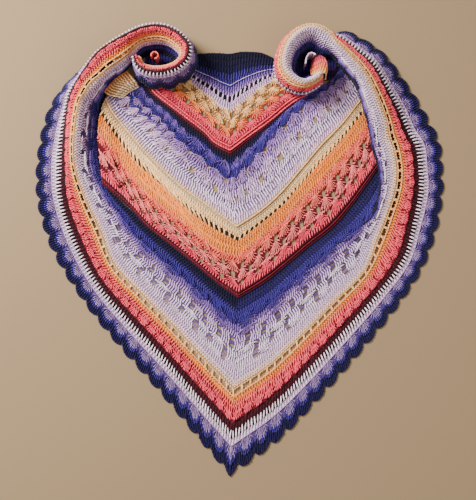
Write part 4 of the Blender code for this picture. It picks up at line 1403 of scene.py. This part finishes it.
@dataclass
class OuterStrip:
    """The outer strip's panels: scalloped edging, border and lace."""

    shop: Workshop
    fan_spokes: int = 9
    fan_top: float = 0.46
    fan_side: float = 0.86
    fan_foot: float = 0.97

    def edging_yarn(self, work: Yarnwork, arms: Sequence[Arm]) -> None:
        """Lays the fans, their blue arcs and the navy scallops, one set to a scallop."""
        for arm in arms:
            low, high = arm.surface.edge_distance(np.array([arm.start, arm.stop]))
            for k in range(math.ceil(low / SCALLOP_PITCH), int(high / SCALLOP_PITCH) + 1):
                self.scallop(work, arm, k * SCALLOP_PITCH)

    def arc(self, aside: np.ndarray) -> np.ndarray:
        """Gives the guide coordinate of a fan's arc, aside being -1 to 1 across it."""
        return self.fan_top + (self.fan_side - self.fan_top) * np.abs(aside) ** 2.6

    @staticmethod
    def notch(aside: np.ndarray) -> np.ndarray:
        """Gives how far the edge is drawn in, in guides, aside being -1 to 1 across a scallop."""
        return SCALLOP_DEPTH * (1.0 - np.abs(np.cos(math.pi * aside / 2)) ** SCALLOP_ROUNDNESS)

    def scallop(self, work: Yarnwork, arm: Arm, centre: float) -> None:
        """Lays one scallop at a distance along the edge."""
        surface = arm.surface

        def place(aside: np.ndarray, reach: float) -> np.ndarray:
            """Gives s at a share of the scallop's half width."""
            distance = np.clip(centre + aside * reach * SCALLOP_PITCH / 2,
                               surface.edge_distance(np.array(arm.start)),
                               surface.edge_distance(np.array(arm.stop)))
            return surface.at_distance(distance)

        spokes = np.linspace(-0.9, 0.9, self.fan_spokes)
        work.lay(Shape.POST, surface, (place(spokes, 0.92), self.arc(spokes) + 0.04),
                 (place(spokes, 0.50), np.full(len(spokes), self.fan_foot)), 1.5, 2.0, 0.9, 0.75)
        between = np.linspace(-0.8, 0.8, self.fan_spokes - 1)
        chain = self.arc(spokes) * 0.4 + 0.47
        work.lay(Shape.LINK, surface, (place(spokes[:-1], 0.62), chain[:-1]),
                 (place(spokes[1:], 0.62), chain[1:]), 1.3, 1.6, 1.2, 0.70)
        work.lay(Shape.POST, surface, (place(between, 1.0), self.arc(between) - 0.10),
                 (place(between, 0.93), self.arc(between) + 0.12), 2.9, 2.6, 1.0, 0.48)
        rays = np.linspace(-0.9, 0.9, 8)
        work.lay(Shape.POST, surface, (place(rays, 1.0), self.notch(rays) + 0.02),
                 (place(rays, 0.9), self.arc(rays) - 0.08), 3.9, 2.4, 0.2, 0.2)
        rim = np.linspace(-1.0, 1.0, 12)
        edge = self.notch(rim) + 0.02
        work.lay(Shape.LINK, surface, (place(rim[:-1], 1.0), edge[:-1]), (place(rim[1:], 1.0), edge[1:]),
                 2.4, 2.4, 0.0, 0.1)

    def build(self) -> None:
        """Makes the strip's flat panels, as far as the rolled tails."""
        arms = [Arm(self.shop.shawl.left, 0.0, LEFT_FLAT_END),
                Arm(self.shop.shawl.right, 0.0, RIGHT_FLAT_END)]
        edging = Cloth("shell_edging_cloth", arms, (EDGE, 0.5, POST), SCALLOP_PITCH / 3, EDGE)
        edging.scalloped = True
        work = Yarnwork("shell_edging_yarn")
        self.edging_yarn(work, arms)
        self.shop.panel(edging, work, STRIP_YARN, ["shell_edging"], "laid")

        border = Cloth("border_cloth", arms, (POST, MAROON, 2.5, 2.86, 3.22, RIB), EYELET_PITCH, EYELETS)
        border.alternate(3, 0, 1, Hole(0.13, 0.87, 0.08, 0.92))
        work = Yarnwork("border_yarn")
        work.rows(arms, BORDER_ROWS, border)
        work.cords(arms, *BORDER_CORDS)
        self.bars(work, border, 2.86, 3.22)
        self.shop.panel(border, work, STRIP_YARN, ["border"], "laid")

        rows = (RIB, 4.12, 4.25, 4.36, 4.47, 4.58, 4.69, 4.82, LACE)
        lace = Cloth("lilac_lace_cloth", arms, rows, LACE_PITCH, 4.5)
        for i, (surface, s) in enumerate(lace.columns[:-1]):
            on_left = surface is self.shop.shawl.left
            if LACE_HOLES_FROM < s < (LACE_HOLES_LEFT_END if on_left else LACE_HOLES_RIGHT_END):
                slot = Hole(0.14, 0.86, 0.28, 0.74, 0.16 if on_left else -0.16)
                for row in (2, 3) if i % 2 else (4, 5):
                    lace.holes[(i, row)] = slot
                if i % 4 == 1:
                    lace.holes[(i, 1)] = slot
        work = Yarnwork("lilac_lace_yarn")
        work.rows(arms, LACE_ROWS, lace)
        for row, fan in LACE_BURSTS:
            work.fans(lace, row, fan)
        self.shop.panel(lace, work, STRIP_YARN, ["lilac_lace"], "laid")

    def bars(self, work: Yarnwork, cloth: Cloth, outer: float, inner: float) -> None:
        """Lays the bars between the large eyelets, two strands to a bar."""
        for i, (surface, s) in enumerate(cloth.columns):
            near = cloth.columns[max(i - 1, 0)] if surface is self.shop.shawl.left else cloth.columns[i - 1]
            step = abs(s - near[1]) if near[0] is surface else 0.3
            both = np.clip(np.array([s - 0.05 * step, s + 0.05 * step]), 0.0, surface.end)
            work.lay(Shape.BAR, surface, (both, np.full(2, outer)), (both, np.full(2, inner)),
                     2.3, 2.6, 0.4, 3.0)


@dataclass
class NavyBand:
    """The blue and navy rows beyond the middle panel, and the edge folded down at the right."""

    shop: Workshop

    def build(self) -> None:
        """Makes the band, whose right arm follows the middle panel."""
        shawl = self.shop.shawl
        left = [Arm(shawl.left, 0.0, LEFT_FLAT_END)]
        right = [Arm(shawl.navy_right, 0.0, shawl.navy_right.end)]
        cloth = Cloth("navy_band_left_cloth", left, (LACE, 5.5, NAVY), 11.0, NAVY)
        work = Yarnwork("navy_band_left_yarn")
        work.rows(left, NAVY_ROWS, cloth)
        work.cords(left, Cord(NAVY, 5.9, 3.6, 0.0))
        self.shop.panel(cloth, work, STRIP_YARN, ["navy_band"], "laid")

        cloth = Cloth("navy_band_right_cloth", right, (0.0, 0.5, 1.0), 11.0, 1.0)
        work = Yarnwork("navy_band_right_yarn")
        near = [replace(row, outer=row.outer - LACE, inner=row.inner - LACE) for row in NAVY_ROWS]
        work.rows(right, near, cloth)
        self.shop.panel(cloth, work, NAVY_YARN, [], "laid")

        # The turned-down fold takes the darkened fold yarn, painted shade
        fold = [Arm(shawl.right, RIGHT_FOLD_START, RIGHT_FLAT_END)]
        cloth = Cloth("right_fold_cloth", fold, (LACE, 5.5, NAVY), LACE_PITCH, 4.5)
        work = Yarnwork("right_fold_yarn")
        work.rows(fold, NAVY_ROWS, cloth)
        self.shop.panel(cloth, work, FOLD_SHADOW_YARN, ["right_fold"], "folded")


# The middle panel's rows, fans and cords, from the maroon ridge inwards
MIDDLE_ROWS = (
    Row(0.14, 0.26, shape=Shape.SPIKE, pitch=4.6, shade=0.25, thickness=2.6, lift=0.6),
    *plain(4.2, (0.24, 0.30, 0.26, 0.8)),
    *plain(4.6, (0.38, 0.43, 0.46, 0.8), (0.58, 0.63, 0.56, -0.8), (0.78, 0.83, 0.80, 0.8)),
    *plain(4.4, (0.83, 0.92, 0.88, 0.5), (0.92, 1.01, 0.96, -0.5)),
    *plain(4.6, (1.00, 1.13, 1.08), (1.13, 1.26, 1.2, -0.3), (1.26, 1.38, 1.3, 0.3), (1.38, 1.50, 1.42)),
    Row(1.49, 1.65, shape=Shape.BAR, pitch=9.0, shade=1.66, width=0.46),
    *plain(4.4, (1.64, 1.72, 1.68), (1.72, 1.80, 1.75, -0.3), (1.80, 1.89, 1.84, 0.3), width=0.95),
    *plain(4.4, (2.04, 2.18, 2.10), (2.18, 2.33, 2.24, -0.3)),
    *plain(4.3, (2.33, 2.45, 2.38, 0.35), (2.45, 2.57, 2.50, -0.3), (2.57, 2.70, 2.64, 0.35),
           (2.70, 2.83, 2.80, -0.3), (2.83, 3.00, 2.92, 0.4)),
    Row(2.92, 3.18, pitch=3.4, shade=3.12, fan=8, gather=0.4, arch=0.11, thickness=3.2, lift=1.4),
    *plain(4.2, (3.16, 3.33, 3.25, 0.5), thickness=2.6, lift=0.4),
    *plain(4.2, (3.33, 3.50, 3.40, -0.4)),
    *plain(4.6, (3.50, 3.63, 3.56), (3.63, 3.77, 3.68), (3.76, 3.92, 3.80)),
)
MIDDLE_LATTICE = Fan(0.34, 9, 1.55, 0.10, 0.34, 1.9, 2.8, 1.7, 2)
MIDDLE_BURST = Fan(2.60, 8, 1.6, 0.2, 0.5, 1.6, 2.2, 0.9, 2)
MIDDLE_FANS = (
    (1, MIDDLE_LATTICE), (2, replace(MIDDLE_LATTICE, shade=0.50)), (3, replace(MIDDLE_LATTICE, shade=0.72)),
    (4, Fan(0.94, 7, 1.3, 0.15, 0.30, 2.0, 2.6, 1.4, 2)),
    (9, MIDDLE_BURST), (10, replace(MIDDLE_BURST, shade=2.80, spread=1.8)),
    (11, Fan(2.96, 9, 2.0, 0.3, 0.5, 1.6, 2.2, 0.7, 2)),
)
MIDDLE_CORDS = (Cord(0.02, 0.0, 2.4, 1.2), Cord(0.075, 0.07, 2.2, 1.4), Cord(0.13, 0.0),
                Cord(1.99, 1.70, 3.0, 1.6), Cord(1.90, 1.60, 1.6, 1.2), Cord(3.90, 3.9))


@dataclass
class MiddlePanel:
    """The second set of bands, from the maroon ridge to the crimson one."""

    shop: Workshop

    def build(self) -> None:
        """Makes the panel."""
        shawl = self.shop.shawl
        arms = [Arm(shawl.middle_left, 0.0, shawl.middle_left.end),
                Arm(shawl.middle_right, 0.0, shawl.middle_right.end)]
        rows = (0.0, 0.2, 0.4, 0.6, 0.8, 1.0, 1.55, 1.82, 2.0, 2.33, 2.7, 3.0, 3.5, 4.0)
        cloth = Cloth("middle_panel_cloth", arms, rows, FAN_PITCH, 1.0)
        diamond, slot = Hole(0.28, 0.72, 0.12, 0.88), Hole(0.22, 0.78, 0.25, 0.75, 0.12)
        for row, hole in ((1, diamond), (2, diamond), (3, diamond), (9, slot), (10, slot)):
            cloth.alternate(row, cloth.spine + (row + 1) % 2, 2, hole, 2)
        work = Yarnwork("middle_panel_yarn")
        work.rows(arms, MIDDLE_ROWS, cloth)
        for row, fan in MIDDLE_FANS:
            work.fans(cloth, row, replace(fan, first=cloth.spine + row % 2))
        work.cords(arms, *MIDDLE_CORDS)
        self.shop.panel(cloth, work, MIDDLE_YARN, ["middle_panel"], "laid")


# The neck panel's rows, fans and cords, from the crimson ridge inwards
NECK_ROWS = (
    *plain(4.4, (0.16, 0.24, 0.25), (0.24, 0.33, 0.3, -0.5)),
    *plain(4.0, (0.31, 0.36, 0.34, 0.8), (0.51, 0.57, 0.50, -0.8), (0.73, 0.79, 0.74, 0.8)),
    *plain(4.2, (0.93, 1.01, 0.96, -0.5)), *plain(4.4, (1.00, 1.08, 1.04)), *plain(4.0, (1.08, 1.155, 1.1)),
    Row(1.15, 1.27, shape=Shape.BAR, shade=1.2, pitch=8.4, width=0.46, slant=0.15),
    *plain(4.4, (1.26, 1.34, 1.30), (1.34, 1.43, 1.37), (1.43, 1.54, 1.48), (1.54, 1.65, 1.58),
           (1.65, 1.77, 1.7), (1.77, 1.88, 1.82), (1.88, 2.00, 1.94)),
)
NECK_LATTICE = Fan(0.46, 8, 1.4, 0.12, 0.30, 2.0, 2.6, 1.5, 2)
NECK_FANS = (
    (2, NECK_LATTICE), (3, replace(NECK_LATTICE, shade=0.66)), (4, replace(NECK_LATTICE, shade=0.88)),
    (1, Fan(0.30, 7, 1.3, 0.15, 0.35, 1.8, 2.4, 1.2, 2)),
)
NECK_CORDS = (Cord(0.005, 0.0, 2.8, 2.0), Cord(0.10, 0.20, 2.8, 2.0), Cord(0.05, 0.10, 2.0, 0.4),
              Cord(1.46, 1.12, 1.2, 1.1), Cord(1.99, 1.9, 2.4, 0.0))


@dataclass
class NeckPanel:
    """The first set of bands, from the crimson double cord to the navy neck edge."""

    shop: Workshop

    def build(self) -> None:
        """Makes the neck panel."""
        shawl = self.shop.shawl
        arms = [Arm(shawl.neck_left, 0.0, NECK_LEFT_END), Arm(shawl.neck_right, 0.0, NECK_RIGHT_END)]
        rows = (0, 0.12, 0.32, 0.54, 0.76, 1, 1.35, 1.65, 2)
        cloth = Cloth("neck_panel_cloth", arms, rows, NECK_PITCH, 0.5)
        for row in (2, 3, 4):
            cloth.alternate(row, cloth.spine + row % 2, 2, Hole(0.30, 0.70, 0.2, 0.8))
        work = Yarnwork("neck_panel_yarn")
        work.rows(arms, NECK_ROWS, cloth)
        for row, fan in NECK_FANS:
            work.fans(cloth, row, replace(fan, first=cloth.spine + (row + 1) % 2))
        work.cords(arms, *NECK_CORDS)
        self.shop.panel(cloth, work, NECK_YARN, ["neck_panel"], "laid")


@dataclass
class RolledTail:
    """One rolled tail, with the strip's rows running on round it."""

    shop: Workshop
    side: str
    surface: Surface
    start: float

    def build(self, strip: OuterStrip) -> None:
        """Makes the roll's cloth and its rows."""
        arms = [Arm(self.surface, self.start, self.surface.end)]
        cloth = Cloth(self.side + "_tail_cloth", arms, (EDGE, 0.5, POST, MAROON, EYELETS, RIB, LACE, NAVY),
                      SCALLOP_PITCH / 3, MAROON)
        cloth.scalloped = True
        work = Yarnwork(self.side + "_tail_yarn")
        strip.edging_yarn(work, arms)
        work.rows(arms, BORDER_ROWS, cloth)
        work.cords(arms, *BORDER_CORDS)
        bars = Row(2.88, 3.22, pitch=7.2, shape=Shape.BAR, shade=3.0, width=0.4)
        work.rows(arms, (bars, *LACE_ROWS, *NAVY_ROWS), cloth)
        self.shop.panel(cloth, work, STRIP_YARN, [self.side + "_tail_roll"], "folded")


@dataclass
class Patch:
    """A small piece of cloth on its own surface, such as a tail's tip or the turned flap.

    Attributes:
        shop: The workshop.
        name: The piece's name, from its solid's.
        surface: Its surface.
        finish: Its yarn.
        rows: Guide coordinates of the borders between its rows.
        nodes: How many solids it stands for: one of its own name, or none.
    """

    shop: Workshop
    name: str
    surface: Surface
    finish: YarnFinish
    rows: tuple[float, ...]
    nodes: int = 1

    def build(self) -> None:
        """Makes the patch with a row of posts between each two borders, and a cord at its edges."""
        arms = [Arm(self.surface, 0.0, self.surface.end)]
        cloth = Cloth(self.name + "_cloth", arms, self.rows, 8.0, self.rows[len(self.rows) // 2])
        work = Yarnwork(self.name + "_yarn")
        work.rows(arms, [Row(outer, inner, pitch=4.4) for outer, inner in zip(self.rows, self.rows[1:])],
                  cloth)
        work.cords(arms, *(Cord(edge, edge, lift=0.0) for edge in (self.rows[0], self.rows[-1])))
        self.shop.panel(cloth, work, self.finish, [self.name][:self.nodes], "folded")


@dataclass
class Studio:
    """The plain floor, the soft light and the camera at the photograph's angle."""

    floor_side: float = 6.0
    floor_hue: tuple[float, ...] = (0.27, 0.175, 0.088, 1.0)
    floor_roughness: float = 0.85
    world_hue: tuple[float, ...] = (1.0, 0.99, 0.97, 1.0)
    world_strength: float = 0.50
    camera_place: tuple[float, float, float] = (-0.0020, -0.1171, 1.1947)
    camera_tilt: float = 5.39
    lens: float = 60.5
    sensor: float = 36.0

    def build(self) -> None:
        """Makes the floor, the lights, the world and the camera."""
        mesh = bpy.data.meshes.new("floor")
        half = self.floor_side / 2
        mesh.from_pydata([(-half, -half, 0), (half, -half, 0), (half, half, 0), (-half, half, 0)], [],
                         [(0, 1, 2, 3)])
        floor = in_scene("floor", mesh)
        material = bpy.data.materials.new("pale_floor")
        material.use_nodes = True
        shader = material.node_tree.nodes["Principled BSDF"]
        shader.inputs["Base Color"].default_value = self.floor_hue
        shader.inputs["Roughness"].default_value = self.floor_roughness
        mesh.materials.append(material)
        self.light("window", (-1.2, 0.8, 1.2), 0.8, 88.0)
        self.light("room", (1.3, -0.9, 2.0), 1.8, 14.0)
        world = bpy.data.worlds.new("room_light")
        world.use_nodes = True
        background = world.node_tree.nodes["Background"]
        background.inputs["Color"].default_value = self.world_hue
        background.inputs["Strength"].default_value = self.world_strength
        bpy.context.scene.world = world
        self.camera()

    def light(self, name: str, place: tuple[float, float, float], size: float, power: float) -> None:
        """Adds a soft area light that faces the shawl."""
        data = bpy.data.lights.new(name, "AREA")
        data.shape = "DISK"
        data.size = size
        data.energy = power
        lamp = in_scene(name, data)
        lamp.location = place
        away = np.array(place) / np.linalg.norm(place)
        lamp.rotation_euler = (math.acos(away[2]), 0.0, math.atan2(away[0], -away[1]))

    def camera(self) -> None:
        """Adds the camera, almost straight above the shawl."""
        data = bpy.data.cameras.new("camera")
        data.lens = self.lens
        data.sensor_width = self.sensor
        data.sensor_fit = "HORIZONTAL"
        eye = in_scene("camera", data)
        eye.location = self.camera_place
        eye.rotation_euler = (math.radians(self.camera_tilt), 0.0, 0.0)
        bpy.context.scene.camera = eye


def across(rows: Sequence[Sequence[tuple[float, float, float]]]) -> Surface:
    """Gives the surface through a table's rows."""
    return Surface(list(zip(*rows)))


def patches(shop: Workshop) -> list[Patch]:
    """Gives the small pieces: the flap, the layer under the left fold, and the tails' ends."""
    middle = shop.shawl.middle_left
    under = []
    s = np.array(UNDER_FOLD_PLACES)
    for r in UNDER_FOLD_GUIDES:
        level = np.full(len(s), r)
        dropped = middle.points(s, level) - middle.normals(s, level) * (2 * HALF_WALL + UNDER_FOLD_GAP)
        under.append([tuple(point) for point in dropped])
    turns = [math.radians(LEFT_CORE_START - LEFT_CORE_STEP * k) for k in range(LEFT_CORE_POINTS)]
    ring = [(LEFT_CORE_CENTRE[0] + LEFT_CORE_RADIUS * math.cos(turn),
             LEFT_CORE_CENTRE[1] + LEFT_CORE_RADIUS * math.sin(turn)) for turn in turns]
    left_tip, right_tip = upright(ring, LEFT_CORE_HEIGHTS), upright(RIGHT_CORE, RIGHT_CORE_HEIGHTS)
    thirds = (0.0, 0.33, 0.66, 1.0)
    return [
        Patch(shop, "turned_flap", across(FLAP_ROWS), FLAP_YARN, (0.0, 0.6, 1.2, 1.8, 2.4, 3.2, 4.0)),
        Patch(shop, "left_fold_under", Surface(under), CORE_YARN, (0.0, 1.0, 2.0)),
        Patch(shop, "right_tail_turn", across(RIGHT_TIP_ROWS), TAIL_YARN, (0.0, 0.75, 1.5, 2.25, 3.0)),
        Patch(shop, "right_tail_tip", Surface(right_tip), TIP_YARN, thirds),
        Patch(shop, "left_tail_tip", Surface(left_tip), CORE_YARN, (0.0, 0.5, 1.0)),
        Patch(shop, "left_tail_lining", across(LEFT_LINING_ROWS), LINING_YARN, thirds, nodes=0),
        Patch(shop, "right_tail_lining", across(RIGHT_LINING_ROWS), LINING_YARN, thirds, nodes=0),
    ]


def main() -> None:
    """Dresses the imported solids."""
    logging.basicConfig(level=logging.INFO, format="%(name)s: %(message)s")
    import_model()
    shapes = {shape: make_shape(shape) for shape in Shape}
    shop = Workshop(Shawl(), StitchTree(), shapes, YarnShop())
    strip = OuterStrip(shop)
    strip.build()
    NavyBand(shop).build()
    MiddlePanel(shop).build()
    NeckPanel(shop).build()
    RolledTail(shop, "left", shop.shawl.left, LEFT_FLAT_END).build(strip)
    RolledTail(shop, "right", shop.shawl.right, RIGHT_FLAT_END).build(strip)
    for patch in patches(shop):
        patch.build()
    for shape in shapes.values():
        bpy.data.objects.remove(shape, do_unlink=True)
    Studio().build()


if __name__ == "__main__":
    main()
